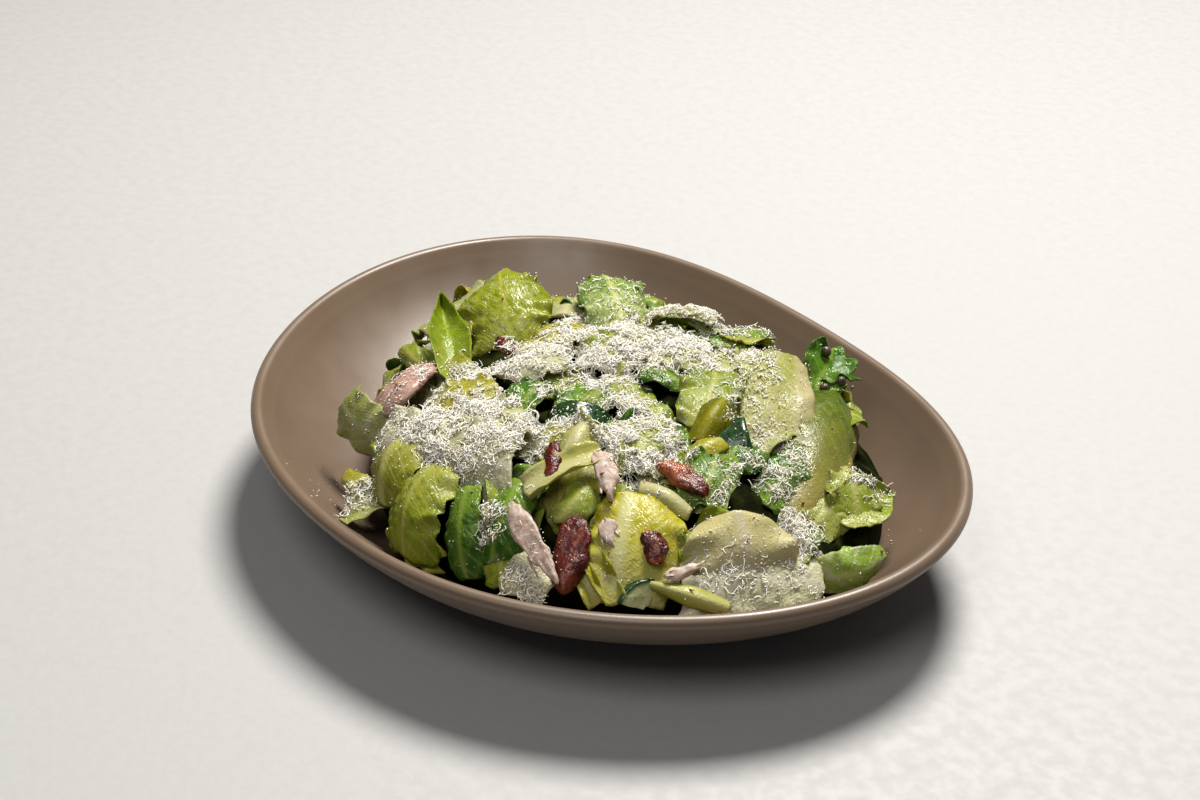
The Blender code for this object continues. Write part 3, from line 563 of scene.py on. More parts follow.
def piece(name, points, faces, finish, values=None, row_frame=False, catches=True):
    """A piece riding on the root body, from points in millimetres, with values kept at its points."""
    points = np.asarray(points, float).reshape(-1, 3)
    points[:, 2] = np.minimum(points[:, 2], CEILING)
    placed = points * MM if row_frame else to_row(points)
    mesh = bpy.data.meshes.new(name)
    mesh.from_pydata(placed.tolist(), [], faces)
    for key, array in (values or {}).items():
        layer = mesh.attributes.new(key, "FLOAT", "POINT")
        layer.data.foreach_set("value", np.asarray(array, np.float32).ravel())
    mesh.shade_smooth()
    mesh.materials.append(finish)
    made = bpy.data.objects.new(name, mesh)
    bpy.context.scene.collection.objects.link(made)
    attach(made, "root")
    if catches:
        surfaces.append(points)
    return made


def grid_faces(rows, columns, start=0, around=False):
    """Quads over rows of points, each row this many points long."""
    steps = columns if around else columns - 1
    i, j = np.meshgrid(np.arange(rows - 1), np.arange(steps), indexing="ij")
    k = (j + 1) % columns
    corners = (i * columns + j, (i + 1) * columns + j, (i + 1) * columns + k, i * columns + k)
    return np.stack(corners, -1).reshape(-1, 4) + start


def end_caps(rows, count):
    """The first and last ring of points as faces, for rings that run anticlockwise seen from the last one."""
    return [list(range(count))[::-1], list(range((rows - 1) * count, rows * count))]


def sheet_faces(rows, columns):
    """Faces of a thin closed sheet whose upper points come first and then its lower ones."""
    upper = grid_faces(rows, columns)
    count = rows * columns
    lower = upper[:, ::-1] + count
    index = np.arange(count).reshape(rows, columns)
    edge = np.concatenate((index[:-1, 0], index[-1, :-1], index[:0:-1, -1], index[0, :0:-1]))
    after = np.roll(edge, -1)
    rim = np.stack((after, edge, edge + count, after + count), -1)
    return np.concatenate((upper, lower, rim)).tolist()


def surface_normals(points):
    normal = np.cross(np.gradient(points, axis=0), np.gradient(points, axis=1))
    return normal / np.maximum(np.linalg.norm(normal, axis=-1, keepdims=True), 1e-9)


# Bowl ------------------------------------------------------------------------------------------------


def make_bowl():
    angle = 2 * math.pi * np.arange(ROUND_STEPS) / ROUND_STEPS

    def ring(inset, height):
        radius = rim_radius(angle) - inset * inset_stretch(angle, inset)
        across, away = radius * np.sin(angle), RIM_MIDDLE_Y + radius * np.cos(angle)
        return np.stack((across, away, np.full(ROUND_STEPS, height)), -1)

    def wall(bend, start, end):
        slopes = np.linspace(start, end, WALL_STEPS + 1)
        return [ring(BEND_INSET - bend * math.sin(s), BEND_HEIGHT - bend * math.cos(s)) for s in slopes]

    foot_slope = math.acos((BEND_HEIGHT - FOOT_HEIGHT) / OUTER_BEND)
    foot_inset = BEND_INSET - OUTER_BEND * math.sin(foot_slope)
    lip_start = RIM_SLOPE - math.pi / 2
    foot = [
        ring(foot_inset + FOOT_WIDTH + 20, FOOT_RECESS),
        ring(foot_inset + FOOT_WIDTH + 0.8, FOOT_RECESS),
        ring(foot_inset + FOOT_WIDTH, FOOT_RECESS - 0.6),
        ring(foot_inset + FOOT_WIDTH - 0.5, 0),
        ring(foot_inset + 0.7, 0),
        ring(foot_inset + 0.2, 0.3),
        ring(foot_inset, 0.9),
    ]
    outer = wall(OUTER_BEND, foot_slope, RIM_SLOPE)
    lip = []
    for step in range(1, LIP_STEPS):
        turn = lip_start + math.pi * step / LIP_STEPS
        lip.append(ring(LIP_INSET - WALL / 2 * math.cos(turn), LIP_HEIGHT + WALL / 2 * math.sin(turn)))
    inner = wall(INNER_BEND, RIM_SLOPE, 0)
    rows = [*foot, *outer, *lip, *inner]
    faces = grid_faces(len(rows), ROUND_STEPS, around=True).tolist()
    last = (len(rows) - 1) * ROUND_STEPS
    faces.append([*range(ROUND_STEPS)])
    faces.append([last + step for step in range(ROUND_STEPS)][::-1])
    # Where the painted highlight on the lip goes: the rim's rows and three rows on either side
    lip_highlight_mask = np.zeros(len(rows))
    first = len(foot) + len(outer)
    lip_highlight_mask[first - 3 : first + len(lip) + 3] = 1
    values = {"lip": np.repeat(lip_highlight_mask, ROUND_STEPS)}
    made = piece("stoneware_bowl", np.array(rows), faces, bowl_finish(), values, True, False)
    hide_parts("bowl")


# Leaves ----------------------------------------------------------------------------------------------


def leaf_width(share, cut):
    """Width along a leaf, as a share of its widest: pointed where cut is below 0, or cut square."""
    if cut == HALF_ROUND:
        return np.sqrt(np.maximum(1 - share**2.6, 0.02))
    square, pointed = max(cut, 0), max(-cut, 0)
    narrow = 0.72 + 0.2 * square
    foot = narrow + (1 - narrow) * np.minimum(share / 0.4, 1)
    drawn_in = np.maximum((share - 0.62) / 0.42, 0) ** (2.4 + 5 * square)
    rounded = foot * np.sqrt(np.maximum(1 - drawn_in, 0.06 + 0.3 * square))
    return rounded * (1 - pointed + pointed * np.minimum(1.7 * (1.05 - share), 1))


def nearest_line(phase, spacing):
    return np.abs(phase - np.round(phase)) * spacing


def leaf_surface(leaf, kind, spacing, seed, shape_seed):
    """(points, normals, thickness, values) of a leaf's middle surface."""
    foot, tip, width, roll, arch, cup = leaf
    _, _, _, rib, cut, blisters, ruffle, frill, _, _ = KINDS[kind]
    middle, axes = lie_along(foot, tip, roll)
    length = math.dist(foot, tip)
    rows, columns = max(round(length / spacing), 10) + 1, max(round(width / spacing), 8) + 1
    share, side = np.meshgrid(np.linspace(0, 1, rows), np.linspace(-1, 1, columns), indexing="ij")
    outward = np.abs(side)
    blank = np.zeros_like(share)
    flank = np.stack((share * length, np.sign(side) * 40, blank), -1)
    tear = 0.6 * noise(flank, 5.0, seed) + 0.5 * noise(flank, 2.0, seed + 1)
    half = width / 2 * leaf_width(share, cut) * (1 + frill * tear * outward**4)
    across = half * side
    chance = random.Random(shape_seed)
    foot_slant, tip_slant = chance.uniform(-0.5, 0.5), chance.uniform(-0.5, 0.5)
    ends = np.abs(2 * share - 1) ** 8 * np.sign(share - 0.5)
    along = (share - 0.5) * length + ends * 12 * frill * noise(np.stack((across, blank, ends), -1), 3.5, seed + 2)
    along = along + max(cut, 0) * across * (foot_slant * (1 - share) ** 2 + tip_slant * share**2)

    rib_place = (rib[0] + (rib[1] - rib[0]) * share) * width / 2
    rib_half = rib[2] + (rib[3] - rib[2]) * share
    off_rib = across - rib_place
    reach = np.abs(off_rib)
    ribness = np.exp(-((reach / rib_half) ** 4))
    flat = np.stack((along, across, blank), -1)
    waver = 0.22 * noise(flat, 8.0, seed + 3)
    main = nearest_line((along - 0.9 * reach - 0.02 * reach**2) / 6.5 + 0.35 * (off_rib > 0) + waver, 6.5) * 0.75
    small = nearest_line((0.9 * reach + 0.4 * along) / 4.2 + 1.6 * waver, 4.2) * 0.9
    tiny = nearest_line((reach - 1.3 * along) / 2.9 + 2 * waver, 2.9)
    veins = np.maximum(np.exp(-((main / 0.45) ** 2)), 0.6 * np.exp(-((small / 0.35) ** 2)))
    near = np.minimum(main, np.minimum(1.3 * small, 1.8 * tiny))
    bulge = (1 - np.exp(-((near / 1.0) ** 2))) * (0.75 + 0.45 * noise(flat, 5.0, seed + 4)) * (1 - ribness)

    wave = 0.05 * width * side**2 * np.sin(11 * share + 2.3 * side + shape_seed)
    crimp = ruffle * width * outward**3 * np.sin(share * length / 1.3 + 3 * noise(flat, 7.0, seed + 5))
    crumple = 0.7 * noise(flat, 9.0, seed + 6)
    lift = arch * length * 4 * share * (1 - share) + cup * width * side**2 + wave + crimp + crumple + blisters * bulge
    points = middle + np.stack((along, across, lift), -1) @ axes.T
    thickness = BLADE_THICKNESS * (1 - 0.45 * outward**6) + rib[4] * ribness * (1 - 0.6 * share)
    low = floor_height(points[..., 0], points[..., 1]) + 0.6 + thickness / 2
    points[..., 2] = np.maximum(points[..., 2], low)
    fade, spread = FADES.get(kind, (2.5, 0.22))
    pale = np.clip(0.8 * np.exp(-reach / (spread * width)) + 0.35 * (1 - share) ** 2, 0, 1)
    veins = veins * min(1, blisters / 0.4)
    values = {"rib": ribness, "vein": veins * (1 - ribness), "pale": pale, "foot": (1 - share) ** fade}
    return points, surface_normals(points), thickness, values


finishes = {kind: leaf_finish(kind) for kind in KINDS}
beds = []  # (points, normals, cheese at each point) of each leaf


def cheese_at(x, y):
    """How thickly the cheese is strewn at a place, 0 to 1."""
    strewn = np.full(np.shape(x), SPRINKLE)
    ragged = noise(np.stack((x, y, 0 * x), -1), DRIFT_CLUMP, 5)
    for (middle_x, middle_y), half_long, half_wide, heading, amount in DRIFTS:
        cos, sin = math.cos(math.radians(heading)), math.sin(math.radians(heading))
        along = ((x - middle_x) * cos + (y - middle_y) * sin) / half_long
        across = ((y - middle_y) * cos - (x - middle_x) * sin) / half_wide
        away = np.hypot(along, across) + 0.3 * ragged
        strewn = np.maximum(strewn, amount * np.exp(-(np.maximum(away, 0) ** 6)))
    fine = noise(np.stack((x, y, 0 * x), -1), DRIFT_LACE, 6)
    return strewn * np.clip(0.66 + 0.9 * ragged + 0.8 * fine, 0.03, 1)


def make_leaf(name, leaf, kind, spacing, seed, keeps):
    points, normals, thickness, values = leaf_surface(leaf, kind, spacing, seed * 11.7, seed)
    cheese = keeps * cheese_at(points[..., 0], points[..., 1])
    values["dust"] = cheese
    rows, columns = points.shape[:2]
    offset = normals * thickness[..., None] / 2
    both = np.concatenate(((points + offset).reshape(-1, 3), (points - offset).reshape(-1, 3)))
    doubled = {key: np.concatenate((array.ravel(), array.ravel())) for key, array in values.items()}
    made = piece(name, both, sheet_faces(rows, columns), finishes[kind], doubled)
    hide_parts("salad_heap")
    beds.append((points + offset, normals, cheese))


def far_leaves():
    chance = random.Random(7)
    made = []
    for feet, tips, count in FAR_ROWS:
        for index in range(count):
            share = (index + chance.uniform(0.2, 0.8)) / count
            angle = FAR_SIDE[0] + (FAR_SIDE[1] - FAR_SIDE[0]) * share
            ends = []
            for place, lift in ((feet, 0), (tips, FAR_LIFT)):
                turned = angle + chance.uniform(-0.10, 0.10)
                drawn_in = FAR_DRAWN_IN * min(max((turned - FAR_LEFT) / 0.3, 0), 1)
                reach = heap_reach(turned) * (place - drawn_in + chance.uniform(-0.05, 0.05))
                x, y = reach * math.cos(turned), reach * math.sin(turned)
                sunk = FAR_SUNK if FAR_GAP[0] < angle < FAR_GAP[1] or angle > FAR_LEFT else 0
                ends.append((x, y, heap_height(x, y) + lift - sunk))
            width = FAR_WIDTH * chance.uniform(0.75, 1.2)
            made.append((*ends, width, chance.uniform(-10, 10), 0.12, chance.uniform(-0.15, 0.08)))
    return made


def under_leaves():
    """Torn leaves in every direction, sunk below the top ones."""
    chance = random.Random(21)
    made = []
    for _ in range(UNDER_COUNT):
        angle = chance.uniform(0, 2 * math.pi)
        reach = heap_reach(angle) * math.sqrt(chance.uniform(0.02, 0.92))
        x, y = reach * math.cos(angle), reach * math.sin(angle)
        heading = chance.uniform(0, 2 * math.pi)
        length = chance.uniform(14, 26)
        ends = []
        for step in (-0.5, 0.5):
            px, py = x + step * length * math.cos(heading), y + step * length * math.sin(heading)
            outside = math.hypot(px, py) / (UNDER_REACH * heap_reach(math.atan2(py, px)))
            px, py = px / max(outside, 1), py / max(outside, 1)
            ends.append((px, py, float(heap_height(px, py)) - chance.uniform(3.0, 7.0)))
        width = chance.uniform(11, 22)
        made.append((*ends, width, chance.uniform(-28, 28), 0.14, chance.uniform(-0.22, 0.18)))
    return made


def make_leaves():
    for seed, (name, row) in enumerate(LEAVES.items()):
        make_leaf("leaf_" + name, row[:6], row[6], LEAF_SPACING, seed, row[7])
    for seed, (name, row) in enumerate(FILLERS.items()):
        make_leaf("leaf_" + name, row[:6], row[6], LEAF_SPACING, 400 + seed, row[7])
    for index, leaf in enumerate(far_leaves()):
        kind = FAR_KINDS[index * 3 % len(FAR_KINDS)]
        make_leaf(f"leaf_far_{index + 1}", leaf, kind, FAR_SPACING, len(LEAVES) + index, 0.7)
    for index, leaf in enumerate(under_leaves()):
        if index in UNDER_LEFT_OUT:
            continue
        kind = UNDER_KINDS[index * 4 % len(UNDER_KINDS)]
        make_leaf(f"leaf_under_{index + 1}", leaf, kind, UNDER_SPACING, 200 + index, 0.7)


def make_core():
    angle = 2 * math.pi * np.arange(CORE_ROUND) / CORE_ROUND
    share = np.linspace(1, 0.02, CORE_RINGS)[:, None]
    reach = heap_reach(angle) * share * CORE_INSET
    x, y = reach * np.cos(angle), reach * np.sin(angle)
    z = heap_height(x, y) - CORE_SINK
    points = np.stack((x, y, z), -1)
    points[..., 2] += 2.2 * noise(points, 9.0, 3) + 1.2 * noise(points, 4.0, 4)
    points[..., 2] = np.maximum(points[..., 2], floor_height(x, y) + 0.5)
    skirt = points[:1].copy()
    skirt[..., 2] = floor_height(skirt[..., 0], skirt[..., 1]) + 0.4
    rows = np.concatenate((skirt, points))
    faces = grid_faces(len(rows), CORE_ROUND, around=True)[:, ::-1].tolist()
    faces += end_caps(len(rows), CORE_ROUND)
    # Painted shade: the core's near-black green stands for the shade deep in the gaps between leaves
    finish = speckled_finish("painted_shade_packed_leaves", (40, 44, 10), (14, 18, 3), 0.80, 150, 0.002, 0.02)
    made = piece("salad_core", rows, faces, finish)
    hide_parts("salad_heap")


# Toppings --------------------------------------------------------------------------------------------

STRIP_CURL = {"bacon": 0.16, "chicken": 0.08, "ham": 0.05}
STRIP_CHEESE = {"bacon_5": 1.0, "ham": 0.35, "bacon_2": 0.12, "chicken_2": 0.35}
SLICE_CHEESE = {"cucumber_2": 0.2, "cucumber_3": 0.2}
STRIP_LOOKS = {
    # lumps in mm, grooves along the strip in mm, how many
    "bacon": (0.30, 0.16, 7),
    "chicken": (0.32, 0.12, 6),
    "ham": (0.25, 0.05, 3),
}


def make_strip(name, strip, finish, seed, node):
    start, end, width, thickness, roll, wave, arch, kind = strip
    lumps, grooves, groove_count = STRIP_LOOKS[kind]
    length = math.dist(start, end)
    rows = round(length / STRIP_SPACING) + 1
    share, turn = np.meshgrid(
        np.linspace(0, 1, rows), 2 * math.pi * (np.arange(STRIP_SIDES) + 0.5) / STRIP_SIDES, indexing="ij"
    )
    closing = np.sqrt(np.maximum(1 - np.abs(2 * share - 1) ** 8, 0.02))
    end_round = np.sqrt(1 - np.abs(2 * share - 1) ** 4)
    taper = 1 - 0.35 * share if kind == "chicken" else 1
    uneven = 1 + 0.10 * np.sin(7 * share + seed)
    drawn = 0.45 + 0.55 * end_round
    if kind == "chicken":
        drawn = 0.30 + 0.70 * np.sin(math.pi * share**0.85)
        uneven = 1 + 0.30 * noise(np.stack((share * length, np.sign(np.cos(turn)), 0 * share), -1), 3.2, seed)
    if kind == "bacon":
        drawn = 0.22 + 0.78 * np.sin(math.pi * (0.05 + 0.9 * share)) ** 0.75
        ragged = min(1, length / 24) * (0.5 if node == "bacon_1" else 1)
        uneven = 1 + ragged * (0.13 * np.sin(11 * share + 2 * seed) + 0.08 * np.sin(23 * share + seed))
    half_wide = width / 2 * drawn * taper * uneven * closing
    half_thick = thickness / 2 * (0.6 + 0.4 * end_round) * closing
    rise = 0.3 * wave * np.sin(9 * share + seed) + arch * (4 * share * (1 - share) - 0.5)
    drift = 0.06 * width * np.sin(5 * share + 2 * seed)
    cos, sin = np.cos(turn), np.sin(turn)
    across = half_wide * np.sign(cos) * np.abs(cos) ** 0.8
    up = half_thick * np.sign(sin) * np.abs(sin) ** 0.8
    place = np.stack(((share - 0.5) * length, across, up), -1)
    out = np.stack((np.zeros_like(cos), cos, sin), -1)
    grain = place * np.array((0.25, 1, 1))
    ridge = np.sin(across / width * 2 * math.pi * groove_count + 2.5 * noise(grain, 2.5, seed))
    relief = lumps * (noise(place, 2.6, seed + 5) + 0.5 * noise(place, 1.2, seed + 6)) + grooves * ridge - 0.35 * lumps
    place = place + out * relief[..., None]
    place[..., 1] += drift
    place[..., 2] += rise + STRIP_CURL[kind] * width * (cos**2) * np.sin(5 * share + seed)
    middle, axes = lie_along(start, end, roll)
    middle[2] += STRIP_LIFT
    points = middle + place @ axes.T
    low = floor_height(points[..., 0], points[..., 1]) + 0.6
    points[..., 2] = np.maximum(points[..., 2], low)
    faces = grid_faces(rows, STRIP_SIDES, around=True)[:, ::-1].tolist() + end_caps(rows, STRIP_SIDES)
    values = {
        "fat": np.clip(np.sin(across / width * 9 + 1.5 * noise(grain, 4.0, seed + 8) + 0.6), 0, 1) ** 3,
        "tip": np.clip((share - (0.35 if node == "bacon_2" else 0.80)) / 0.25, 0, 1),
        # Groove mask for the painted shade in the chicken's recessed grooves
        "groove_shade": (ridge < -0.2) * 1.0,
    }
    made = piece(name, points, faces, finish, values)
    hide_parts(node)
    kept = STRIP_CHEESE.get(node, 0.04) * (share > 0.35 if node == "bacon_5" else 1)
    beds.append((points, surface_normals(points), kept * cheese_at(points[..., 0], points[..., 1])))


def slice_axes(facing, axis):
    facing = unit(facing)
    axis = np.array(axis, float)
    axis = unit(axis - axis @ facing * facing)
    return np.stack((facing, np.cross(axis, facing), axis), 1)


def make_slice(name, place, radius, spread, profile, finish, slot, seed, node):
    """A piece of a round slice, whose profile gives the radius and height of each ring along its axis."""
    middle, facing, axis = place
    half = math.radians(spread) / 2
    arc = np.linspace(-half, half, 49)
    cuts = np.linspace(0, 1, 13)[1:-1, None]
    corner = 0.16 * radius * np.array((math.cos(half), math.sin(half)))
    mirrored = corner * (1, -1)
    rings, skins = [], []
    for size, height in profile:
        far = size * np.stack((np.cos(arc), np.sin(arc)), -1)
        there = far[-1] + (corner - far[-1]) * cuts
        back = mirrored + (far[0] - mirrored) * cuts
        flat = np.concatenate((far, there, [corner, (0.16 * radius, 0), mirrored], back))
        rings.append(np.concatenate((flat, np.full((len(flat), 1), height)), 1))
        on_arc = (np.arange(len(flat)) < len(arc)) * 1.0
        skins.append(on_arc * (size > 0.93 * radius or slot == "tomato"))
    caps = []
    for ring in (rings[0], rings[-1]):
        centre = np.array((0.55 * radius, 0, ring[0, 2]))
        caps.append([centre + (ring - centre) * share for share in (0.08, 0.3, 0.52, 0.74, 0.92)])
    blank = [np.zeros(len(skins[0]))] * 5
    shape = np.array([*caps[0], *rings, *caps[1][::-1]])
    skin = np.array([*blank, *skins, *blank])
    radial = np.hypot(shape[..., 0], shape[..., 1]) / radius
    out = unit(shape - np.array((0.55 * radius, 0, 0)))
    relief = 0.35 * noise(shape, 3.0, seed) + 0.22 * noise(shape, 1.3, seed + 1)
    shape = shape + out * (relief * (1 - 0.6 * skin))[..., None]
    points = np.array(middle) + shape @ slice_axes(facing, axis).T
    low = floor_height(points[..., 0], points[..., 1]) + 0.6
    points[..., 2] = np.maximum(points[..., 2], low)
    rows, count = points.shape[:2]
    faces = grid_faces(rows, count, around=True)[:, ::-1].tolist() + end_caps(rows, count)
    made = piece(name, points, faces, finish, {"skin": skin, "radial": radial})
    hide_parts(node)
    kept = SLICE_CHEESE.get(node, 0.04)
    beds.append((points, surface_normals(points), kept * cheese_at(points[..., 0], points[..., 1])))


def make_toppings():
    strip_finishes = {"bacon": bacon_finish(), "chicken": chicken_finish(), "ham": ham_finish()}
    for seed, (name, strip) in enumerate(STRIPS.items()):
        make_strip(name + "_piece", strip, strip_finishes[strip[-1]], seed, name)
    make_fibres(strip_finishes["chicken"])
    cucumber = cucumber_finish()
    for seed, (name, row) in enumerate(CUCUMBER.items()):
        middle, facing, axis, radius, spread, thickness = row
        half = thickness / 2
        rise = np.linspace(-1, 1, 15)
        round_off = 0.6 * np.maximum(np.abs(rise) * half - half + 0.6, 0) / 0.6
        profile = [(radius - cut, height * half) for cut, height in zip(round_off, rise)]
        make_slice(name + "_piece", (middle, facing, axis), radius, spread, profile, cucumber, "cucumber", seed, name)
    middle, facing, axis, radius, spread = TOMATO
    turns = np.radians(np.linspace(-72, 72, 25))
    profile = [(radius * math.cos(turn), radius * math.sin(turn)) for turn in turns]
    make_slice("tomato_1_piece", (middle, facing, axis), radius, spread, profile, tomato_finish(), "tomato", 9, "tomato_1")


# Small loose things ----------------------------------------------------------------------------------

BEADS = {
    # name: (places in the served frame, radius)
    "pepper": (((82, 8, 56), (86, -6, 52), (80, -9, 51)), 1.9),
}
CHEESE_LONG = 1800
CHEESE_SHORT = 9900
CHEESE_CRUMBS = 16000
FLECKS = 260
STRIP_LIFT = 1.0
SKY = unit((0.0, -0.45, 0.9))
SKY_STEPS = (1.2, 2.5, 4, 6, 9, 13, 20)
SAG = 0.012
STEP_OVER = 2.5


def ball(rings=10, sides=14):
    """Unit sphere: (points, faces)."""
    rise = np.linspace(-math.pi / 2, math.pi / 2, rings)
    turn = 2 * math.pi * np.arange(sides) / sides
    rise, turn = np.meshgrid(rise, turn, indexing="ij")
    points = np.stack((np.cos(rise) * np.cos(turn), np.cos(rise) * np.sin(turn), np.sin(rise)), -1)
    faces = grid_faces(rings, sides, around=True)[:, ::-1]
    return points.reshape(-1, 3), faces


def make_beads():
    finish = speckled_finish("peppercorn", (92, 84, 44), (44, 36, 20), 0.36, 900)
    points, faces = ball()
    for name, (places, radius) in BEADS.items():
        all_points, all_faces = [], []
        for index, place in enumerate(places):
            lumpy = points * (radius * (1 + 0.09 * noise(points * 4, 1.2, index)))[:, None]
            all_faces.append(faces + len(points) * index)
            all_points.append(lumpy + np.array(place))
        piece(name, np.concatenate(all_points), np.concatenate(all_faces).tolist(), finish)


class Ground:
    """The height of the topmost surface on a fine grid."""

    cell = 0.5
    half = 130

    def __init__(self):
        size = round(2 * self.half / self.cell)
        points = np.concatenate(surfaces)
        height = np.full((size, size), -1.0)
        index = np.clip(np.floor((points[:, :2] + self.half) / self.cell).astype(int), 0, size - 1)
        np.maximum.at(height, (index[:, 0], index[:, 1]), points[:, 2])
        for _ in range(2):
            padded = np.pad(height, 1, mode="edge")
            near = [padded[i : i + size, j : j + size] for i in range(3) for j in range(3)]
            height = np.where(height < 0, np.max(near, axis=0), height)
        self.height = height

    def at(self, points):
        index = np.floor((points[..., :2] + self.half) / self.cell).astype(int)
        index = np.clip(index, 0, len(self.height) - 1)
        return self.height[index[..., 0], index[..., 1]]

    def open_to_sky(self, points, normals):
        free = np.ones(len(points), bool)
        for step in SKY_STEPS:
            seen_from = points + 0.6 * normals + step * SKY
            free &= self.at(seen_from) < seen_from[:, 2]
        return free


def open_places(ground):
    """(points, normals, area, cheese) of the places on the leaves that are open to the sky."""
    columns = []
    for points, normals, cheese in beds:
        patch = np.cross(np.gradient(points, axis=0), np.gradient(points, axis=1))
        area = np.linalg.norm(patch, axis=-1)
        columns.append((points.reshape(-1, 3), normals.reshape(-1, 3), area.ravel(), cheese.ravel()))
    points, normals, area, cheese = (np.concatenate(column) for column in zip(*columns))
    normals = np.where(normals[:, 2:] < 0, -normals, normals)
    free = ground.open_to_sky(points, normals)
    return points[free], normals[free], area[free], cheese[free]


def pick_places(places, count, chance, thick=1.0):
    """Random places, more where more cheese lies. thick says how much more."""
    points, normals, area, cheese = places
    weights = area * cheese**thick
    picks = chance.choice(len(points), size=count, p=weights / weights.sum())
    moved = points[picks] + chance.normal(size=(count, 3)) * 0.4 * (1 - np.abs(normals[picks]))
    return moved, normals[picks], cheese[picks]


def shred_paths(ground, places, count, lengths, curls, steps, chance, lift):
    """Centre lines of curly shreds resting on the leaves, as (shreds, steps, 3)."""
    starts, normals, cheese = pick_places(places, count, chance, 1.5)
    length = chance.uniform(*lengths, (count, 1))
    curl = chance.uniform(*curls, (count, 1)) * chance.choice((-1, 1), (count, 1))
    s = np.linspace(-0.5, 0.5, steps)[None]
    phase = chance.uniform(0, 6, (count, 1))
    heading = chance.uniform(0, 2 * math.pi, (count, 1)) + curl * s * length + 0.8 * np.sin(s * 7 + phase)
    x = np.cumsum(np.cos(heading), 1) * length / (steps - 1)
    y = np.cumsum(np.sin(heading), 1) * length / (steps - 1)
    x, y = x - x.mean(1, keepdims=True), y - y.mean(1, keepdims=True)
    normal = unit(normals + chance.normal(size=(count, 3)) * 0.18)
    side = unit(np.cross(normal, np.array((0.3, 1.0, 0.2))))
    fore = np.cross(side, normal)
    wave = chance.uniform(0.1, 0.6, (count, 1)) * np.sin(s * chance.uniform(3, 8, (count, 1)) + phase)
    layer = lift * cheese[:, None] * chance.random((count, 1)) ** 1.5
    rise = (0.3 + np.abs(wave) + layer)[..., None] * normal[:, None]
    path = starts[:, None] + x[..., None] * side[:, None] + y[..., None] * fore[:, None] + rise
    path[..., 2] -= SAG * (x**2 + y**2)
    under = ground.at(path) + 0.25
    reached = under - path[..., 2]
    path[..., 2] = np.where((reached > 0) & (reached < STEP_OVER), under, path[..., 2])
    path[:, 1:-1, 2] = (path[:, :-2, 2] + 2 * path[:, 1:-1, 2] + path[:, 2:, 2]) / 4
    return path


def tubes(paths, width, chance, sides=3):
    """Closed shreds with pointed ends along these centre lines: (points, faces)."""
    count, steps = paths.shape[:2]
    along = unit(np.gradient(paths, axis=1) + 1e-9)
    facing = np.array((0.0, -0.2, 1.0)) + chance.normal(size=(count, 1, 3)) * 0.3
    side = unit(np.cross(facing + 0 * along, along))
    up = np.cross(along, side)
    share = np.linspace(-1, 1, steps)[None, :, None]
    girth = width * chance.uniform(0.7, 1.3, (count, 1, 1)) * (1 - 0.75 * np.abs(share) ** 6) / 2
    corners = []
    for turn in math.pi / 2 + 2 * math.pi * np.arange(sides) / sides:
        corners.append(paths + girth * (math.cos(turn) * side + SHRED_FLAT * math.sin(turn) * up))
    points = np.stack(corners, 2).reshape(count, steps * sides, 3)
    base = (np.arange(count) * steps * sides)[:, None, None]
    quads = (grid_faces(steps, sides, around=True)[:, ::-1][None] + base).reshape(-1, 4).tolist()
    tips = (np.array(end_caps(steps, sides))[None] + base).reshape(-1, sides).tolist()
    return points.reshape(-1, 3), quads + tips


SHRED_FLAT = 0.38
FIBRES = 12
FIBRE_SAG = 1.0


def make_fibres(finish):
    """Torn fibres that stand off the strips of pulled chicken."""
    chance = np.random.default_rng(17)
    paths = []
    for strip in STRIPS.values():
        start, end, width, thickness, roll, _, _, kind = strip
        if kind != "chicken":
            continue
        middle, axes = lie_along(start, end, roll)
        middle[2] += STRIP_LIFT
        length = math.dist(start, end)
        for _ in range(round(FIBRES * length / 30)):
            step = np.linspace(-0.5, 0.5, 9) * chance.uniform(3, 7)
            place = chance.uniform(-0.36, 0.36) * length
            off = chance.uniform(-0.4, 0.4) * width
            splay = chance.normal() * 0.16
            up = thickness * chance.uniform(0.10, 0.46)
            bend = chance.normal() * 0.012
            across = off + splay * step + bend * step**2
            lift = up - FIBRE_SAG * (across / width * 2) ** 2 + 0.4 * np.sin(step + place)
            paths.append(middle + np.stack((place + step, across, lift), -1) @ axes.T)
    points, faces = tubes(np.array(paths), 0.8, chance, 6)
    low = floor_height(points[:, 0], points[:, 1]) + 0.4
    points[:, 2] = np.maximum(points[:, 2], low)
    piece("chicken_fibres", points, faces, finish, {"groove_shade": np.zeros(len(points))})


def make_shreds(ground, places, finish):
    chance = np.random.default_rng(11)
    kinds = (
        ("cheese_shreds", CHEESE_LONG, (3, 9), (0.05, 0.5), 8, 0.48, 1.5),
        ("cheese_curls", CHEESE_SHORT, (0.8, 2.9), (0.1, 0.9), 4, 0.47, 0.9),
    )
    for name, count, lengths, curls, steps, width, lift in kinds:
        paths = shred_paths(ground, places, count, lengths, curls, steps, chance, lift)
        points, faces = tubes(paths, width, chance)
        low = floor_height(points[:, 0], points[:, 1]) + 0.1
        points[:, 2] = np.maximum(points[:, 2], low)
        piece(name, points, faces, finish, catches=False)


CRUMB = np.array(((1, 0, 0), (0, 1, 0), (-1, 0, 0), (0, -1, 0), (0, 0, 1), (0, 0, -1)), float)
CRUMB_FACES = np.array(
    ((0, 1, 4), (1, 2, 4), (2, 3, 4), (3, 0, 4), (1, 0, 5), (2, 1, 5), (3, 2, 5), (0, 3, 5))
)


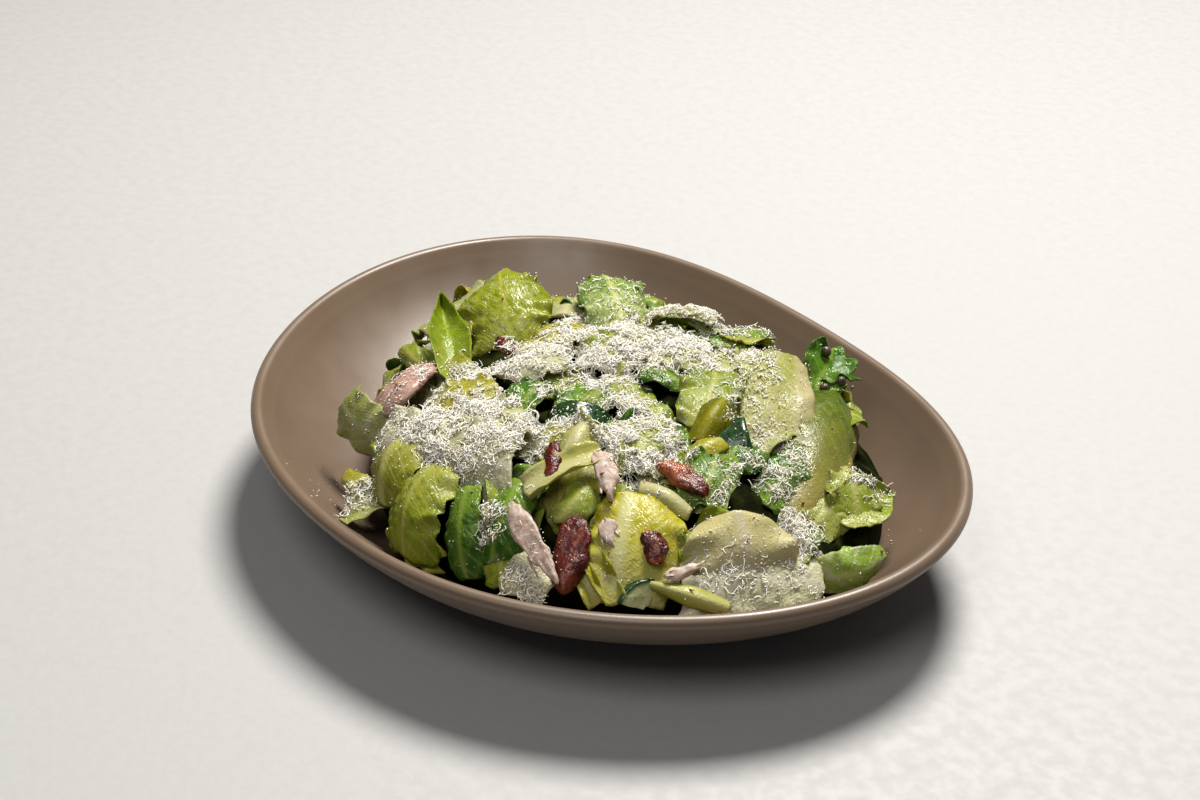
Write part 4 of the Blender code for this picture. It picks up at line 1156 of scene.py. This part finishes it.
def scatter(name, centres, sizes, finish, chance, flatten=0.6):
    """Small uneven crumbs joined in one piece."""
    count = len(centres)
    turned = chance.normal(size=(count, 3, 3))
    axes = np.linalg.qr(turned)[0]
    axes[np.linalg.det(axes) < 0] *= -1
    shape = CRUMB[None] * chance.uniform(0.5, 1.0, (count, 6, 1)) * (1.9, 1.0, 0.6)
    shape = np.einsum("nij,nkj->nki", axes, shape) * np.array(sizes)[:, None, None]
    shape[..., 2] *= flatten
    points = (np.array(centres)[:, None] + shape).reshape(-1, 3)
    faces = (CRUMB_FACES[None] + 6 * np.arange(count)[:, None, None]).reshape(-1, 3).tolist()
    low = floor_height(points[:, 0], points[:, 1]) + 0.05
    points[:, 2] = np.maximum(points[:, 2], low)
    return piece(name, points, faces, finish, catches=False)


WALL_CRUMBS = (
    # (x, y) on the bowl's wall, how many, spread
    ((-92, -26), 16, 9),
    ((-84, -44), 14, 7),
    ((100, -62), 5, 5),
    ((97, -48), 4, 4),
    ((52, 52), 5, 8),
    ((88, 30), 6, 6),
    ((-45, -92), 7, 6),
    ((96, -28), 5, 5),
)


def make_crumbs(places, finish):
    chance = np.random.default_rng(23)
    starts, normals, _ = pick_places(places, CHEESE_CRUMBS, chance, 0.8)
    centres = [*(starts + normals * chance.uniform(0.1, 1.1, (CHEESE_CRUMBS, 1)))]
    for (x, y), count, spread in WALL_CRUMBS:
        for _ in range(count):
            px, py = x + chance.normal() * spread, y + chance.normal() * spread
            centres.append(np.array((px, py, floor_height(px, py) + 0.3)))
    sizes = chance.uniform(0.16, 0.42, len(centres))
    scatter("cheese_crumbs", centres, sizes, finish, chance)


def make_flecks(places):
    """Orange-brown specks of fried crumb and spice on the leaves."""
    chance = np.random.default_rng(31)
    starts, normals, _ = pick_places(places, FLECKS, chance, 0.1)
    centres = starts + normals * 0.35
    sizes = chance.uniform(0.3, 0.8, FLECKS)
    finish = speckled_finish("spice_flecks", (190, 134, 78), (146, 92, 48), 0.4, 900)
    scatter("spice_flecks", centres, sizes, finish, chance)


SMEARS = (
    # (x, y) on the bowl's wall, length, width, heading in degrees
    ((78, 38), 11, 4, 100),
    ((69, 44), 9, 3, 130),
)


def make_smears():
    """Thin smears of dressing on the bowl's wall."""
    finish = speckled_finish("dressing_film", (196, 182, 158), (172, 152, 128), 0.22, 500, 0.0003)
    all_points, all_faces, count = [], [], 0
    for index, ((x, y), length, width, heading) in enumerate(SMEARS):
        share, side = np.meshgrid(np.linspace(-1, 1, 25), np.linspace(-1, 1, 13), indexing="ij")
        flat = np.stack((share * length, side * width, 0 * share), -1)
        edge = np.sqrt(np.maximum(1 - share**2, 0.01)) * (1 + 0.35 * noise(flat, 3.0, index))
        cos, sin = math.cos(math.radians(heading)), math.sin(math.radians(heading))
        along, across = share * length / 2, side * edge * width / 2
        px, py = x + along * cos - across * sin, y + along * sin + across * cos
        film = 0.02 + 0.22 * np.sqrt(np.maximum(1 - np.abs(side) ** 3, 0)) * (1 + 0.5 * noise(flat, 2.0, index + 9))
        upper = np.stack((px, py, floor_height(px, py) + film), -1)
        lower = upper.copy()
        lower[..., 2] -= film + 0.1
        all_points += [upper.reshape(-1, 3), lower.reshape(-1, 3)]
        all_faces += (np.array(sheet_faces(25, 13)) + count).tolist()
        count += 2 * 25 * 13
    piece("dressing_smears", np.concatenate(all_points), all_faces, finish, catches=False)


# Stage -----------------------------------------------------------------------------------------------

AIM = (2.9, 1.9, 40)
CAMERA_DISTANCE = 701.8
CAMERA_RISE = math.radians(30.3)
LENS = 60
LIGHTS = (
    # name: place in metres of the served frame, size, watts, colour
    ("key", (0.28, 0.60, 1.30), 0.5, 46.0, (1.0, 0.975, 0.925)),
    ("fill", (-0.35, -0.85, 1.45), 0.8, 9.6, (1.0, 0.985, 0.96)),
)


def served_to_row_metres(place):
    return Vector(to_row(np.array(place) * 1000))


def make_stage():
    mesh = bpy.data.meshes.new("floor")
    side = 6.0
    mesh.from_pydata([(-side, -side, 0), (side, -side, 0), (side, side, 0), (-side, side, 0)], [], [(0, 1, 2, 3)])
    mesh.materials.append(speckled_finish("pale_floor", (184, 183, 182), (182, 181, 180), 0.6, 300, 0.0001))
    floor = bpy.data.objects.new("floor", mesh)
    bpy.context.scene.collection.objects.link(floor)

    target = served_to_row_metres(np.array(AIM) * MM)
    for name, place, size, watts, colour in LIGHTS:
        light = bpy.data.lights.new(name, "AREA")
        light.shape = "DISK"
        light.size = size
        light.energy = watts
        light.color = colour
        lamp = bpy.data.objects.new(name, light)
        lamp.location = served_to_row_metres(place)
        lamp.rotation_euler = (target - lamp.location).to_track_quat("-Z", "Y").to_euler()
        bpy.context.scene.collection.objects.link(lamp)

    world = bpy.data.worlds.new("studio")
    world.use_nodes = True
    background = world.node_tree.nodes["Background"]
    background.inputs["Color"].default_value = (0.92, 0.94, 1.0, 1)
    background.inputs["Strength"].default_value = 0.09
    bpy.context.scene.world = world
    bpy.context.scene.view_settings.view_transform = "Standard"

    camera = bpy.data.cameras.new("camera")
    camera.lens = LENS
    camera.sensor_width = 36
    camera.clip_start = 0.01
    seen_from = bpy.data.objects.new("camera", camera)
    back = np.array((0, -math.cos(CAMERA_RISE), math.sin(CAMERA_RISE)))
    seen_from.location = served_to_row_metres((np.array(AIM) + CAMERA_DISTANCE * back) * MM)
    seen_from.rotation_euler = (target - seen_from.location).to_track_quat("-Z", "Y").to_euler()
    bpy.context.scene.collection.objects.link(seen_from)
    bpy.context.scene.camera = seen_from


def main():
    make_stage()
    make_bowl()
    make_core()
    make_leaves()
    make_toppings()
    make_beads()
    ground = Ground()
    places = open_places(ground)
    cheese = cheese_finish()
    make_shreds(ground, places, cheese)
    make_crumbs(places, cheese)
    make_flecks(places)
    make_smears()
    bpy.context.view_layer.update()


main()
